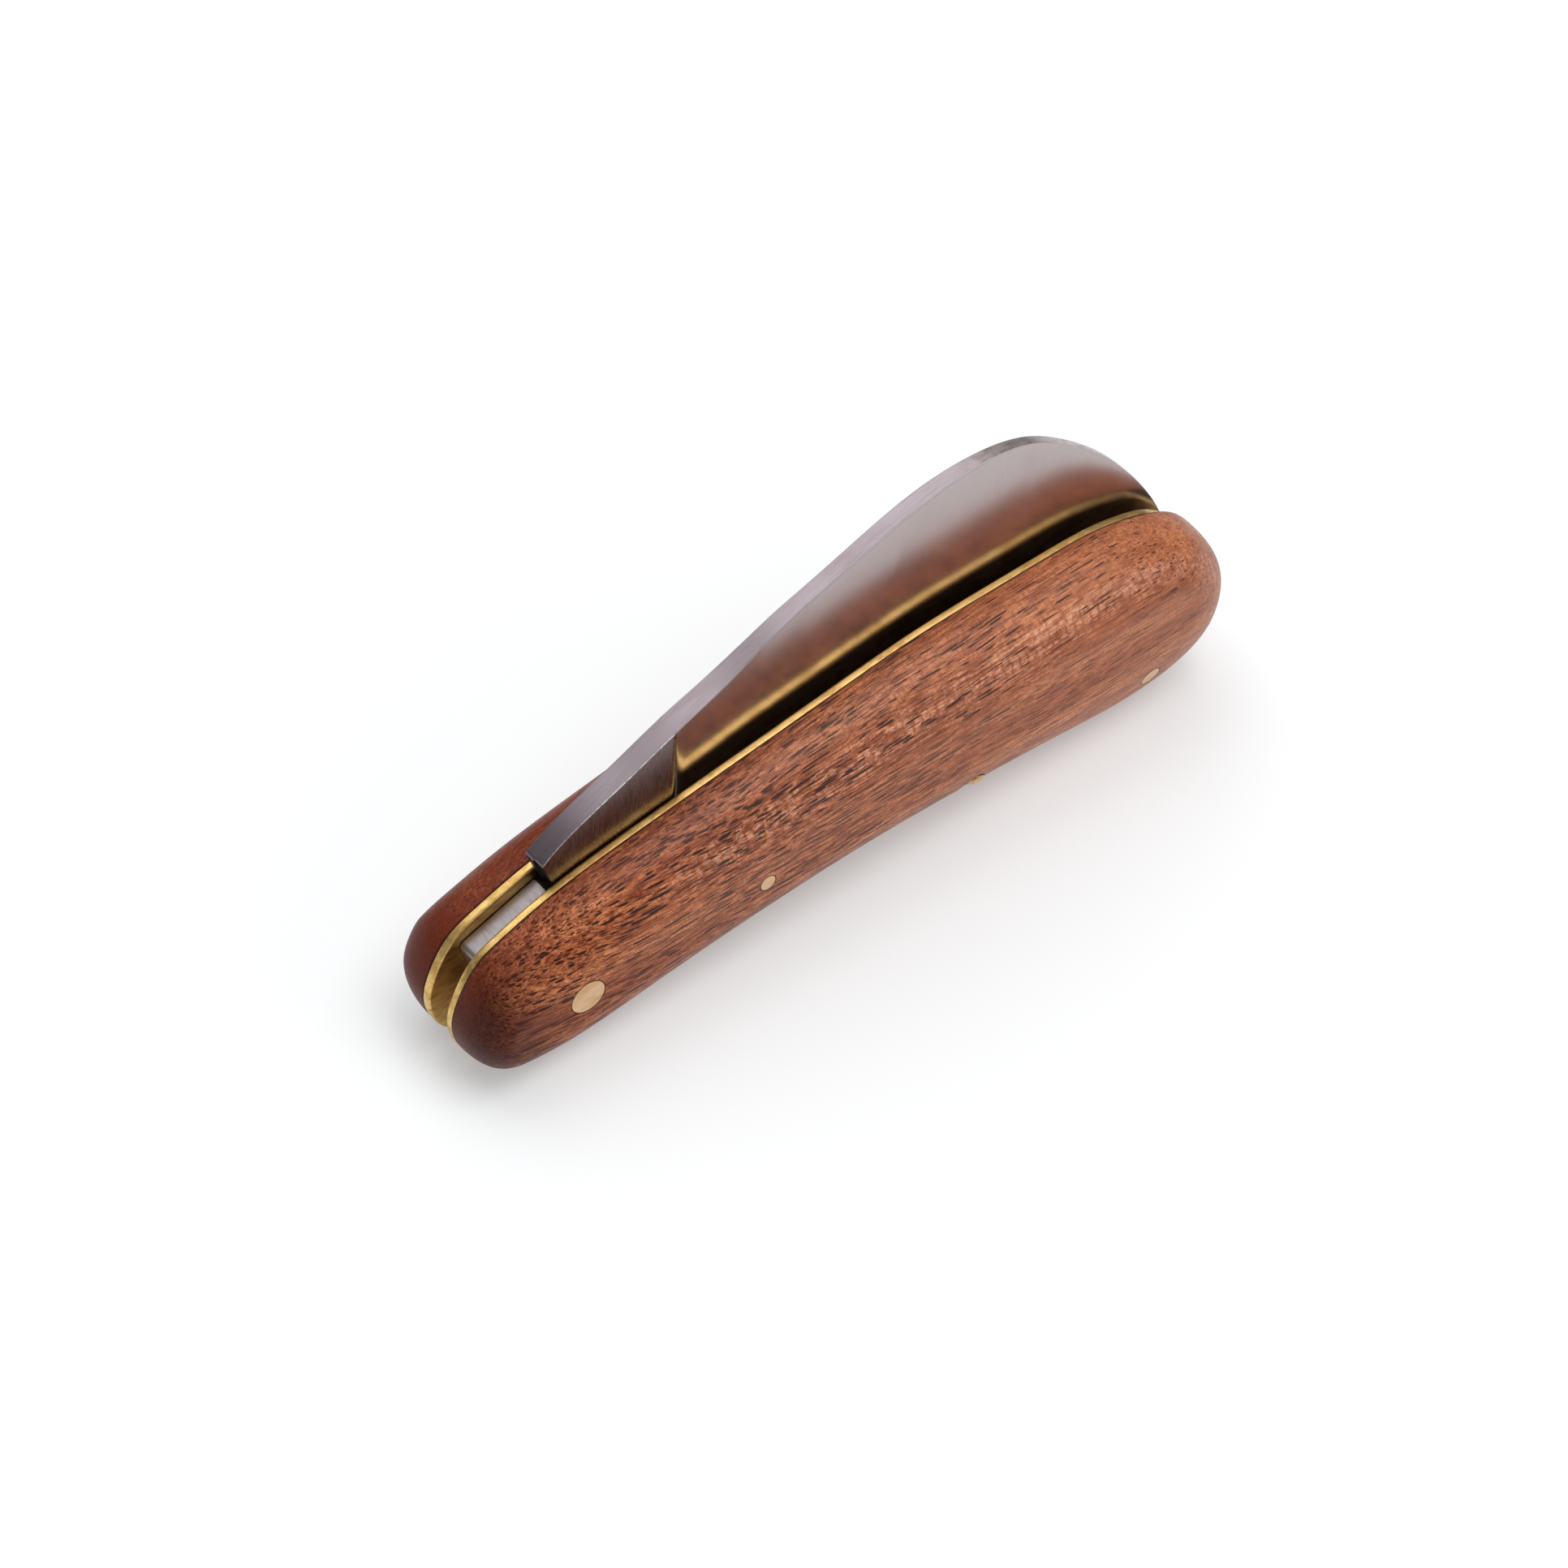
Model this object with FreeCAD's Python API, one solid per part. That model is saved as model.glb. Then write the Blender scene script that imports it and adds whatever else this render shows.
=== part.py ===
import FreeCAD, Part
import math
import os

from FreeCAD import Vector

# Folding pruning knife, closed. Millimetres, +Z up.
# It stands on its back: the slot and the spine of the blade are up, the pivot is at the -X end
# and the butt at the +X end. Both sides of the handle are alike, but the far one lies lower at the tip.
# X = 0 is the middle of the handle's length and Z = 0 is the surface that the back rests on.

# Handle, seen from the side
handle_length = 110.0
handle_height = 27.9
liner_thickness = 1.0
liner_chamfer = 0.35
liner_tip_relief = 0.65
far_tip_relief = 0.9

# Wooden scale: how far it stands out from its liner at mid length, and how much more at the butt
scale_thickness = 8.33
scale_gain_to_butt = 1.38

# Line inside a scale that its rounding shrinks towards: insets from the two ends, and heights
ridge_front_inset = 4.6
ridge_front_height = 8.6
ridge_butt_inset = 11.9
ridge_butt_height = 19.1

# Blade
blade_stock = 2.9
blade_side_clearance = 0.1
edge_stock = 0.16
pivot_from_front = 13.4
pivot_height = 10.4
tang_depth = 7.9
tang_front_reach = 6.9
tang_back_reach = 4.7
tang_corner = 0.8
tang_lower_corner = 2.4
open_flat_tilt = 19.4
heel_step = 5.2
heel_notch_depth = 0.18
heel_notch_width = 1.45
choil_bow = 1.6
plunge_length = 1.9

# Back spring
spring_clearance = 0.03
spring_end_gap = 0.1
spring_depth = 7.2

# Pins: diameter, distance from the nearer end of the handle and height
pivot_pin_diameter = 4.4
pivot_pin_clearance = 0.05
middle_pin_diameter = 2.0
middle_pin_from_front = 38.2
middle_pin_height = 12.0
spring_pin_diameter = 2.0
spring_pin_from_butt = 40.05
spring_pin_height = 6.3
butt_pin_diameter = 2.6
butt_pin_from_butt = 14.2
butt_pin_height = 7.6

# Notch in the wood beside the spring pin's heads, and how far it lies towards the front and the back
notch_diameter = 3.0
notch_depth = 2.2
notch_forward = 0.55
notch_drop = 0.8

# How far a cutting tool runs past what it cuts
overrun = 2.0

# Outline of the handle, clockwise from the front end: shares of the length and of the height
outline_shares = [
    (0.000, 0.298), (0.009, 0.452), (0.032, 0.590), (0.067, 0.663), (0.128, 0.741), (0.209, 0.800),
    (0.333, 0.864), (0.479, 0.936), (0.608, 0.990), (0.740, 0.999), (0.830, 0.993), (0.877, 0.958),
    (0.915, 0.905), (0.951, 0.825), (0.987, 0.648), (1.000, 0.439), (0.983, 0.191), (0.928, 0.045),
    (0.851, 0.000), (0.762, 0.036), (0.639, 0.086), (0.490, 0.124), (0.360, 0.107), (0.231, 0.053),
    (0.119, 0.000), (0.055, 0.035), (0.017, 0.116),
]

# Below this share of the height the liners keep square edges, flush with the back spring.
# Beyond the tip shares of length and height they are set back from the wood, and the far side is lower.
square_edge_share = 0.2
tip_shares = (0.93, 0.5)

# Oval power of a scale's cross-section, and the quarter-turn shares where its sections are taken
oval_power = 2.4
section_shares = [0.90, 0.78, 0.65, 0.52, 0.39, 0.27, 0.16]

# Spine of the blade, from just behind the heel to the point, in the same shares as the outline
spine_shares = [
    (0.141, 0.925), (0.171, 0.989), (0.229, 1.087), (0.292, 1.198), (0.360, 1.305), (0.424, 1.423),
    (0.493, 1.521), (0.561, 1.617), (0.621, 1.681), (0.666, 1.699), (0.709, 1.689), (0.755, 1.637),
    (0.801, 1.523), (0.856, 1.330), (0.905, 1.096), (0.940, 0.880), (0.962, 0.690), (0.968, 0.560),
]

# Place in the spine's points, counting from nought, where the grinding starts
plunge_count = 3

# Cutting edge from the choil to the point, in the same shares
edge_shares = [
    (0.289, 0.600), (0.360, 0.655), (0.450, 0.705), (0.540, 0.730), (0.630, 0.742), (0.720, 0.735),
    (0.800, 0.705), (0.870, 0.650), (0.930, 0.580), (0.963, 0.525),
]

# Shares of the way from the plunge to the point, with the share of the stock left at the spine
taper_shares = [
    (0.00, 1.00), (0.09, 0.90), (0.14, 0.80), (0.22, 0.73), (0.38, 0.71), (0.47, 0.61), (0.60, 0.46),
    (0.75, 0.38), (1.00, 0.22),
]
station_shares = [0.06, 0.12, 0.20, 0.28, 0.37, 0.46, 0.55, 0.64, 0.73, 0.82, 0.90, 0.96, 1.00]
plunge_steps = 6

# Inner side of the back spring: shares of the handle's length, and of the spring's depth there
spring_shares = [(0.230, 0.40), (0.360, 0.47), (0.500, 0.60), (0.640, 1.00), (0.800, 1.42), (0.940, 1.72)]


def length_at(share):
    """X of a share of the handle's length, from the front end."""
    return (share - 1 / 2) * handle_length


def side_points(shares):
    """Points in the XZ plane from shares of the handle's length and height."""
    return [Vector(length_at(a), 0, b * handle_height) for a, b in shares]


front_end = length_at(0)
butt_end = length_at(1)
stock_half = blade_stock / 2
slot_half = stock_half + blade_side_clearance
liner_outer = slot_half + liner_thickness
pivot = Vector(front_end + pivot_from_front, 0, pivot_height)
nose_top = pivot_height - tang_depth - spring_clearance
widest = liner_outer + scale_thickness + scale_gain_to_butt + overrun
outline = side_points(outline_shares)
pin_sizes = {
    "pivot_pin": (pivot_pin_diameter, pivot.x, pivot_height),
    "middle_pin": (middle_pin_diameter, front_end + middle_pin_from_front, middle_pin_height),
    "spring_pin": (spring_pin_diameter, butt_end - spring_pin_from_butt, spring_pin_height),
    "butt_pin": (butt_pin_diameter, butt_end - butt_pin_from_butt, butt_pin_height),
}


def curve_through(points, closed=False):
    """Smooth curve through the points, spaced by the square root of their distances."""
    ring = points + points[:1] if closed else points
    knots = [0.0]
    for a, b in zip(ring, ring[1:]):
        knots.append(knots[-1] + math.sqrt((b - a).Length))
    curve = Part.BSplineCurve()
    curve.interpolate(Points=points, Parameters=knots, PeriodicFlag=closed)
    return curve, knots


def loop_at(points, y):
    """Smooth closed wire through the points, moved to a depth in Y."""
    curve, _ = curve_through([Vector(p.x, y, p.z) for p in points], True)
    return Part.Wire([curve.toShape()])


def inset(points, distances):
    """Closed run of points, each moved inwards across the run by its own distance."""
    moved = []
    for i, point in enumerate(points):
        along = points[(i + 1) % len(points)] - points[i - 1]
        inwards = Vector(along.z, 0, -along.x).normalize()
        moved.append(point + inwards * distances[i])
    return moved


def relieved_outline(distance):
    """Outline of the handle, set back by a distance beyond the tip shares."""
    tip_a, tip_b = tip_shares
    return inset(outline, [distance if a > tip_a and b > tip_b else 0 for a, b in outline_shares])


def rod(diameter, reach, x, z):
    """Solid rod along Y, as far to both sides."""
    return Part.makeCylinder(diameter / 2, 2 * reach, Vector(x, -reach, z), Vector(0, 1, 0))


def pin_rod(name, reach):
    """Rod of a pin's diameter at the pin's place."""
    diameter, x, z = pin_sizes[name]
    return rod(diameter, reach, x, z)


def mirrored(shape):
    """Copy of a shape on the far side of the handle."""
    return shape.mirror(Vector(0, 0, 0), Vector(0, 1, 0))


def handle_prism(half_width):
    """The outline carried straight across the handle."""
    return Part.Face(loop_at(outline, -half_width)).extrude(Vector(0, 2 * half_width, 0))


def ridge_point(point):
    """Nearest point of the line that the rounding of a scale shrinks towards."""
    start = Vector(front_end + ridge_front_inset, 0, ridge_front_height)
    end = Vector(butt_end - ridge_butt_inset, 0, ridge_butt_height)
    line = end - start
    share = (point - start).dot(line) / line.dot(line)
    return start + line * min(max(share, 0), 1)


def scale_section(side, share):
    """Loop round a near scale where its oval has turned by a share of a quarter turn."""
    turn = share * math.pi / 2
    shrink = math.sin(turn) ** (2 / oval_power)
    rise = math.cos(turn) ** (2 / oval_power)
    points = []
    for point in side:
        core = ridge_point(point)
        moved = core + (point - core) * shrink
        stand = scale_thickness + scale_gain_to_butt * moved.x / butt_end
        points.append(Vector(moved.x, -liner_outer - stand * rise, moved.z))
    curve, _ = curve_through(points, True)
    return Part.Wire([curve.toShape()])


def scale_blank(side):
    """Near scale before drilling: its outline rounded over to a narrow flat on its side."""
    loops = [loop_at(side, -liner_outer)]
    loops += [scale_section(side, share) for share in section_shares]
    return Part.makeLoft(loops, True, False)


def spring_pin_notches(blank):
    """Cutters for the notches in the wood beside both heads of the spring pin."""
    _, x, z = pin_sizes["spring_pin"]
    ray = Part.makeLine(Vector(x, 0, z), Vector(x, -widest, z))
    floor = max(-v.Y for v in blank.common(ray).Vertexes) - notch_depth
    place = (x - notch_forward, z - notch_drop)
    return rod(notch_diameter, widest, *place).cut(rod(notch_diameter + overrun, floor, *place))


def build_scales(near_blank, far_blank):
    """Both wooden scales with their pin holes and the notches beside the spring pin."""
    tools = [pin_rod(name, widest) for name in pin_sizes] + [spring_pin_notches(near_blank)]
    return near_blank.cut(tools), mirrored(far_blank).cut(tools)


def build_liner(tip_relief):
    """Near brass liner, with a chamfer along the slot, relieved at the tip and bored for the pins."""
    edge = [liner_chamfer if b > square_edge_share else 0 for _, b in outline_shares]
    side = relieved_outline(tip_relief)
    loops = [
        loop_at(side, -liner_outer),
        loop_at(side, -slot_half - liner_chamfer),
        loop_at(inset(side, edge), -slot_half),
    ]
    return Part.makeLoft(loops, True, True).cut([pin_rod(name, widest) for name in pin_sizes])


def build_pins(near_blank, far_blank):
    """Brass pins, their heads dressed to the wood."""
    block = Part.makeBox(
        handle_length + 2 * overrun, widest - liner_outer, handle_height + 2 * overrun,
        Vector(front_end - overrun, -widest, -overrun),
    )
    moulds = [block.cut(near_blank), mirrored(block.cut(far_blank))]
    return {name: pin_rod(name, widest).cut(moulds) for name in pin_sizes}


def back_height(x):
    """Z of the handle's back at an X."""
    ray = Part.makeLine(Vector(x, 0, -overrun), Vector(x, 0, handle_height / 2))
    return min(v.Z for v in Part.Face(loop_at(outline, 0)).common(ray).Vertexes)


def build_spring():
    """Back spring: its back follows the handle and its inner side rises from the nose to the butt."""
    nose_end = pivot.x - tang_back_reach + spring_end_gap
    inner = [Vector(pivot.x + tang_front_reach, 0, nose_top)]
    for share, depth in spring_shares:
        x = length_at(share)
        inner.append(Vector(x, 0, back_height(x) + depth * spring_depth))
    curve, _ = curve_through(inner)
    far = butt_end + overrun
    rim = [
        Vector(far, 0, inner[-1].z), Vector(far, 0, -overrun), Vector(nose_end, 0, -overrun),
        Vector(nose_end, 0, nose_top),
    ]
    corners = [inner[-1]] + rim + [inner[0]]
    edges = [curve.toShape()] + [Part.makeLine(a, b) for a, b in zip(corners, corners[1:])]
    region = Part.Face(Part.Wire(edges))
    region.translate(Vector(0, -slot_half, 0))
    bar = region.extrude(Vector(0, 2 * slot_half, 0)).common(handle_prism(slot_half))
    return bar.cut([pin_rod(name, widest) for name in ("spring_pin", "butt_pin")])


def taper_at(share):
    """Share of the stock left at the spine, at a share of the way from the plunge to the point."""
    for (s0, t0), (s1, t1) in zip(taper_shares, taper_shares[1:]):
        if share <= s1:
            return t0 + (t1 - t0) * (share - s0) / (s1 - s0)


def tang_directions():
    """Directions along the tang's open flat, towards the blade, and square out of it."""
    tilt = math.radians(open_flat_tilt)
    return Vector(math.cos(tilt), 0, math.sin(tilt)), Vector(-math.sin(tilt), 0, math.cos(tilt))


def tang_points():
    """Corners of the tang, from the foot of the heel back round to the foot of the choil."""
    along, out = tang_directions()
    heel_foot = pivot + along * tang_back_reach + out * tang_depth
    front_top = pivot - along * tang_front_reach + out * tang_depth
    front_low = pivot - Vector(tang_front_reach - tang_corner, 0, tang_depth)
    choil_foot = pivot + Vector(tang_back_reach, 0, -tang_depth)
    return heel_foot, front_top, front_low, choil_foot


def heel_top():
    """Corner of the spine above the heel."""
    _, out = tang_directions()
    return tang_points()[0] + out * heel_step


def arc_at(before, corner, after, radius):
    """Arc that rounds a corner between two straight sides, and the points where it meets them."""
    a = (before - corner).normalize()
    b = (after - corner).normalize()
    half = a.getAngle(b) / 2
    reach = radius / math.tan(half)
    middle = corner + (a + b).normalize() * (radius / math.sin(half) - radius)
    start = corner + a * reach
    end = corner + b * reach
    return Part.Arc(start, middle, end).toShape(), start, end


def blade_curves():
    """Spine and edge curves, and the spine's parameter where the grinding starts."""
    spine, knots = curve_through([heel_top()] + side_points(spine_shares))
    edge, _ = curve_through(side_points(edge_shares))
    return spine, edge, knots[plunge_count + 1]


def flat_tang(spine, plunge, low):
    """Tang and unground part of the blade at full stock, up to the plunge."""
    heel_foot, front_top, front_low, choil_foot = tang_points()
    top_arc, a, b = arc_at(heel_foot, front_top, front_low, tang_corner)
    low_arc, c, d = arc_at(front_top, front_low, choil_foot, tang_lower_corner)
    across = low - choil_foot
    bow = Vector(-across.z, 0, across.x).normalize() * choil_bow
    rise = spine.copy()
    rise.segment(spine.FirstParameter, plunge)
    edges = [
        Part.makeLine(heel_foot, a), top_arc, Part.makeLine(b, c), low_arc, Part.makeLine(d, choil_foot),
        Part.Arc(choil_foot, choil_foot + across / 2 + bow, low).toShape(),
        Part.makeLine(low, spine.value(plunge)), rise.toShape(), Part.makeLine(heel_top(), heel_foot),
    ]
    face = Part.Face(Part.Wire(Part.__sortEdges__(edges)))
    face.translate(Vector(0, -stock_half, 0))
    return face.extrude(Vector(0, blade_stock, 0))


def ground_section(spine, edge, plunge, share, low_half):
    """Section of the ground blade from spine to edge, at a share of the way to the point."""
    rest = spine.length(plunge, spine.LastParameter)
    top = spine.value(spine.parameterAtDistance(rest * share, plunge))
    low = edge.value(edge.parameterAtDistance(edge.length() * share, edge.FirstParameter))
    top_half = stock_half * taper_at(share)
    corners = [(top, -top_half), (top, top_half), (low, low_half), (low, -low_half)]
    points = [Vector(p.x, y, p.z) for p, y in corners]
    return Part.makePolygon(points + points[:1])


def ground_solids(spine, edge, plunge):
    """The plunge, which falls away in a hollow from the full stock, and the flat-ground blade."""
    plunge_share = plunge_length / spine.length(plunge, spine.LastParameter)
    edge_half = edge_stock / 2
    ramp = []
    for i in range(plunge_steps + 1):
        left = 1 - i / plunge_steps
        low_half = stock_half - (stock_half - edge_half) * math.sqrt(1 - left * left)
        ramp.append(ground_section(spine, edge, plunge, plunge_share * (1 - left), low_half))
    body = ramp[-1:]
    body += [ground_section(spine, edge, plunge, share, edge_half) for share in station_shares]
    return Part.makeLoft(ramp, True, True), Part.makeLoft(body, True, False)


def heel_notch():
    """Block that sets the near part of the heel's end face back."""
    _, out = tang_directions()
    block = Part.makeBox(
        overrun + heel_notch_depth, heel_notch_width + overrun, heel_step + overrun,
        Vector(-overrun, -stock_half - overrun, 0),
    )
    block.rotate(Vector(0, 0, 0), Vector(0, 1, 0), math.degrees(math.atan2(out.x, out.z)))
    block.translate(tang_points()[0])
    return block


def build_blade():
    """Blade in one piece, bored to turn on the pivot pin."""
    spine, edge, plunge = blade_curves()
    low = edge.value(edge.FirstParameter)
    pieces = ground_solids(spine, edge, plunge)
    blade = flat_tang(spine, plunge, low).fuse(pieces).removeSplitter()
    bore = rod(pivot_pin_diameter + 2 * pivot_pin_clearance, slot_half + overrun, pivot.x, pivot.z)
    return blade.cut([bore, heel_notch()])


def main():
    """Build every piece and write one file for each."""
    os.makedirs("parts", exist_ok=True)
    blanks = scale_blank(outline), scale_blank(relieved_outline(far_tip_relief))
    front_scale, rear_scale = build_scales(*blanks)
    nodes = {
        "front_scale": front_scale,
        "rear_scale": rear_scale,
        "front_liner": build_liner(liner_tip_relief),
        "rear_liner": mirrored(build_liner(liner_tip_relief + far_tip_relief)),
        "back_spring": build_spring(),
        "blade": build_blade(),
    }
    nodes.update(build_pins(*blanks))
    for name, shape in nodes.items():
        shape.exportStep("parts/" + name + ".step")
        print(name, shape.isValid(), len(shape.Solids), round(shape.Volume, 2))


main()
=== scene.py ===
import logging
import math
from dataclasses import dataclass
from enum import Enum

import bmesh
import bpy
import numpy as np
from mathutils import Matrix, Vector


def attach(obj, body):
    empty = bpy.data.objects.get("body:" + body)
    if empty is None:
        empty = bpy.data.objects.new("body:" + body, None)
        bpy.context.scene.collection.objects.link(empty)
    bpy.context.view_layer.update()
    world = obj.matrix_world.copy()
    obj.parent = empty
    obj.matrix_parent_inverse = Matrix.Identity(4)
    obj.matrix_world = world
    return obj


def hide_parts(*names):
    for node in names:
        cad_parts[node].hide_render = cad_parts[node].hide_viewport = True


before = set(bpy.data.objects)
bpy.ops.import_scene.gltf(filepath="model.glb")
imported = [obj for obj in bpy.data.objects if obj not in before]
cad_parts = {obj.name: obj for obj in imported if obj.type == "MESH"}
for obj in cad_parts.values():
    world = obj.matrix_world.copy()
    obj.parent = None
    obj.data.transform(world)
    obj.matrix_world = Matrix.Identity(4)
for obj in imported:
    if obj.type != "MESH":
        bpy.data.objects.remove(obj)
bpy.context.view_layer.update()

# Sizes are in millimetres in the part's own frame, and meshes are written in metres.
MM = 0.001
# Points of a mesh that are closer than this, in metres, become one, and so do the ends of a face.
WELD = 1e-7
FACE_WELD = 1e-8
# Clearance between the pieces that lie against the liners' faces.
GAP = 0.002
# Steps along a curve, round an outline or an oval, and along a plain side, to read places from.
CURVE_STEPS = 6000
OUTLINE_STEPS = 4000
ROUGH_STEPS = 400
# Most of a smooth noise lies between these values.
NOISE_SPAN = (0.3, 0.7)
log = logging.getLogger("pruning_knife")


class Side(Enum):
    """Side of the handle, as the sign of Y."""

    FRONT = -1
    REAR = 1


class Region(Enum):
    """Stretches of the blade from the tang's front to the point."""

    TANG_FRONT = 0
    TANG_FLAT = 1
    HEEL = 2
    RICASSO = 3
    GROUND = 4


class Dress(Enum):
    """Faces of the blade that have a finish of their own."""

    SPINE = 0
    TANG = 1
    HEEL = 2
    FLAT = 3
    GROUND = 4


# ---------------------------------------------------------------------------------------------
# Curves and meshes
# ---------------------------------------------------------------------------------------------


@dataclass(frozen=True)
class SmoothCurve:
    """Cubic spline through points of the side view, knotted by the square root of their distances."""

    points: np.ndarray
    closed: bool = False

    def knots(self) -> np.ndarray:
        """Cumulative square root of the distance from point to point.

        Returns:
            The knots, one more than the steps between points.
        """
        run = np.vstack([self.points, self.points[:1]]) if self.closed else self.points
        steps = np.sqrt(np.linalg.norm(np.diff(run, axis=0), axis=1))
        return np.concatenate([[0.0], np.cumsum(steps)])

    def slopes(self) -> np.ndarray:
        """Slope at each knot that makes the second derivative continuous.

        Returns:
            One slope per point. An open curve has no bend at its two ends.
        """
        knots = self.knots()
        n = len(self.points)
        h = np.diff(knots)
        system = np.zeros((n, n))
        right = np.zeros((n, 2))
        following = np.roll(self.points, -1, axis=0)
        chord = (following[: len(h)] - self.points[: len(h)]) / h[:, None]
        for i in range(n) if self.closed else range(1, n - 1):
            before, after = h[i - 1], h[i % len(h)]
            system[i, (i - 1) % n] = after
            system[i, i] = 2 * (before + after)
            system[i, (i + 1) % n] = before
            right[i] = 3 * (after * chord[i - 1] + before * chord[i % len(h)])
        if not self.closed:
            system[0, :2], right[0] = (2, 1), 3 * chord[0]
            system[-1, -2:], right[-1] = (1, 2), 3 * chord[-1]
        return np.linalg.solve(system, right)

    def at(self, t: np.ndarray) -> np.ndarray:
        """Points of the curve.

        Args:
            t: Knot values, from zero to the last knot.

        Returns:
            One row of X and Z for each value.
        """
        knots, slopes = self.knots(), self.slopes()
        i = np.clip(np.searchsorted(knots, t, side="right") - 1, 0, len(knots) - 2)
        j = (i + 1) % len(self.points)
        h = (knots[i + 1] - knots[i])[:, None]
        s = ((t - knots[i]) / (knots[i + 1] - knots[i]))[:, None]
        return (
            (1 + 2 * s) * (1 - s) ** 2 * self.points[i]
            + s * (1 - s) ** 2 * h * slopes[i]
            + s**2 * (3 - 2 * s) * self.points[j]
            + s**2 * (s - 1) * h * slopes[j]
        )

    def spaced(self, shares: np.ndarray, start: float = 0.0, end: float | None = None) -> np.ndarray:
        """Points at shares of the curve's own length.

        Args:
            shares: Shares of the length between start and end.
            start: Knot value where the stretch starts.
            end: Knot value where it ends, or None for the last knot.

        Returns:
            One row of X and Z for each share.
        """
        last = self.knots()[-1] if end is None else end
        fine = np.linspace(start, last, CURVE_STEPS)
        steps = np.linalg.norm(np.diff(self.at(fine), axis=0), axis=1)
        run = np.concatenate([[0.0], np.cumsum(steps)])
        return self.at(np.interp(np.asarray(shares) * run[-1], run, fine))


def arc(start: np.ndarray, corner: np.ndarray, end: np.ndarray, radius: float, count: int) -> np.ndarray:
    """Points of the circle that rounds a corner between two straight sides.

    Args:
        start: A point of the first side.
        corner: The corner itself.
        end: A point of the second side.
        radius: Radius of the rounding.
        count: Number of points, from the first side to the second.

    Returns:
        The points, in order.
    """
    a = (start - corner) / np.linalg.norm(start - corner)
    b = (end - corner) / np.linalg.norm(end - corner)
    half = math.acos(float(a @ b)) / 2
    centre = corner + (a + b) / np.linalg.norm(a + b) * radius / math.sin(half)
    first = corner + a * radius / math.tan(half) - centre
    last = corner + b * radius / math.tan(half) - centre
    turn = np.linspace(0, 1, count)[:, None]
    sweep = math.acos(float(first @ last) / radius**2)
    return centre + (np.sin((1 - turn) * sweep) * first + np.sin(turn * sweep) * last) / math.sin(sweep)


def line(start: np.ndarray, end: np.ndarray, count: int) -> np.ndarray:
    """Evenly spaced points from start to end."""
    return start + (end - start) * np.linspace(0, 1, count)[:, None]


def inward(ring: np.ndarray) -> np.ndarray:
    """Unit vectors that point into a clockwise closed run of points, square to the run.

    Args:
        ring: The run, as rows of X and Z.

    Returns:
        One vector for each point.
    """
    along = np.roll(ring, -1, axis=0) - np.roll(ring, 1, axis=0)
    normal = np.stack([along[:, 1], -along[:, 0]], axis=1)
    return normal / np.linalg.norm(normal, axis=1)[:, None]


def stack_faces(rows: int, count: int) -> np.ndarray:
    """Faces of a stack of closed rings, with both end rings closed by strips from side to side.

    Args:
        rows: Number of rings.
        count: Points in a ring, an even number. Point i faces point count - 1 - i.

    Returns:
        Four vertex numbers per face: the bands first, row by row, then the two end strips.
    """
    row = np.arange(rows - 1)[:, None] * count
    i = np.arange(count)[None, :]
    j = (i + 1) % count
    bands = np.stack([row + i, row + j, row + count + j, row + count + i], axis=-1).reshape(-1, 4)
    k = np.arange(count // 2 - 1)
    strip = np.stack([k, k + 1, count - 2 - k, count - 1 - k], axis=1)
    return np.vstack([bands, strip[:, ::-1], strip + (rows - 1) * count])


def make_piece(
    name: str,
    rings: np.ndarray,
    materials: list,
    index: np.ndarray | None = None,
    values: dict | None = None,
) -> bpy.types.Object:
    """Closed smooth mesh from a stack of rings.

    Args:
        name: Name of the piece.
        rings: Rows of rings, each ring a run of X, Y and Z in millimetres.
        materials: Materials of the piece.
        index: Material number of each band face, as rows less one by points, or None.
        values: Values for the materials, by name, each as rows by points, or None.

    Returns:
        The piece, with its faces outwards.
    """
    rows, count, _ = rings.shape
    faces = stack_faces(rows, count)
    points = rings.reshape(-1, 3)
    a, b, c, d = (points[faces[:, k]] for k in range(4))
    volume = np.einsum("ij,ij->", a, np.cross(b, c)) + np.einsum("ij,ij->", a, np.cross(c, d))
    if volume < 0:
        faces = faces[:, ::-1]
    mesh = bpy.data.meshes.new(name)
    mesh.vertices.add(len(points))
    mesh.vertices.foreach_set("co", (points * MM).astype(np.float32).ravel())
    mesh.loops.add(faces.size)
    mesh.loops.foreach_set("vertex_index", faces.astype(np.int32).ravel())
    mesh.polygons.add(len(faces))
    mesh.polygons.foreach_set("loop_start", np.arange(0, faces.size, 4, dtype=np.int32))
    for material in materials:
        mesh.materials.append(material)
    if index is not None:
        ends = index[[0, -1]][:, : count // 2 - 1]
        numbers = np.concatenate([index.ravel(), ends.ravel()])
        mesh.polygons.foreach_set("material_index", numbers.astype(np.int32))
    for key, value in (values or {}).items():
        attribute = mesh.attributes.new(key, "FLOAT", "POINT")
        attribute.data.foreach_set("value", value.astype(np.float32).ravel())
    mesh.update(calc_edges=True)
    mesh.polygons.foreach_set("use_smooth", np.ones(len(faces), bool))
    work = bmesh.new()
    work.from_mesh(mesh)
    bmesh.ops.remove_doubles(work, verts=work.verts, dist=WELD)
    bmesh.ops.dissolve_degenerate(work, edges=work.edges, dist=FACE_WELD)
    work.to_mesh(mesh)
    work.free()
    piece = bpy.data.objects.new(name, mesh)
    bpy.context.scene.collection.objects.link(piece)
    log.info("%s: %d faces", name, len(mesh.polygons))
    return piece


def fit(piece: bpy.types.Object, node: str, body: str) -> bpy.types.Object:
    """Set a piece in the place of a node, on its body, and hide the node.

    Args:
        piece: The piece.
        node: Node of the CAD that it replaces.
        body: Body that it rides on.

    Returns:
        The piece.
    """
    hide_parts(node)
    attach(piece, body)
    return piece


# ---------------------------------------------------------------------------------------------
# Materials
# ---------------------------------------------------------------------------------------------


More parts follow.
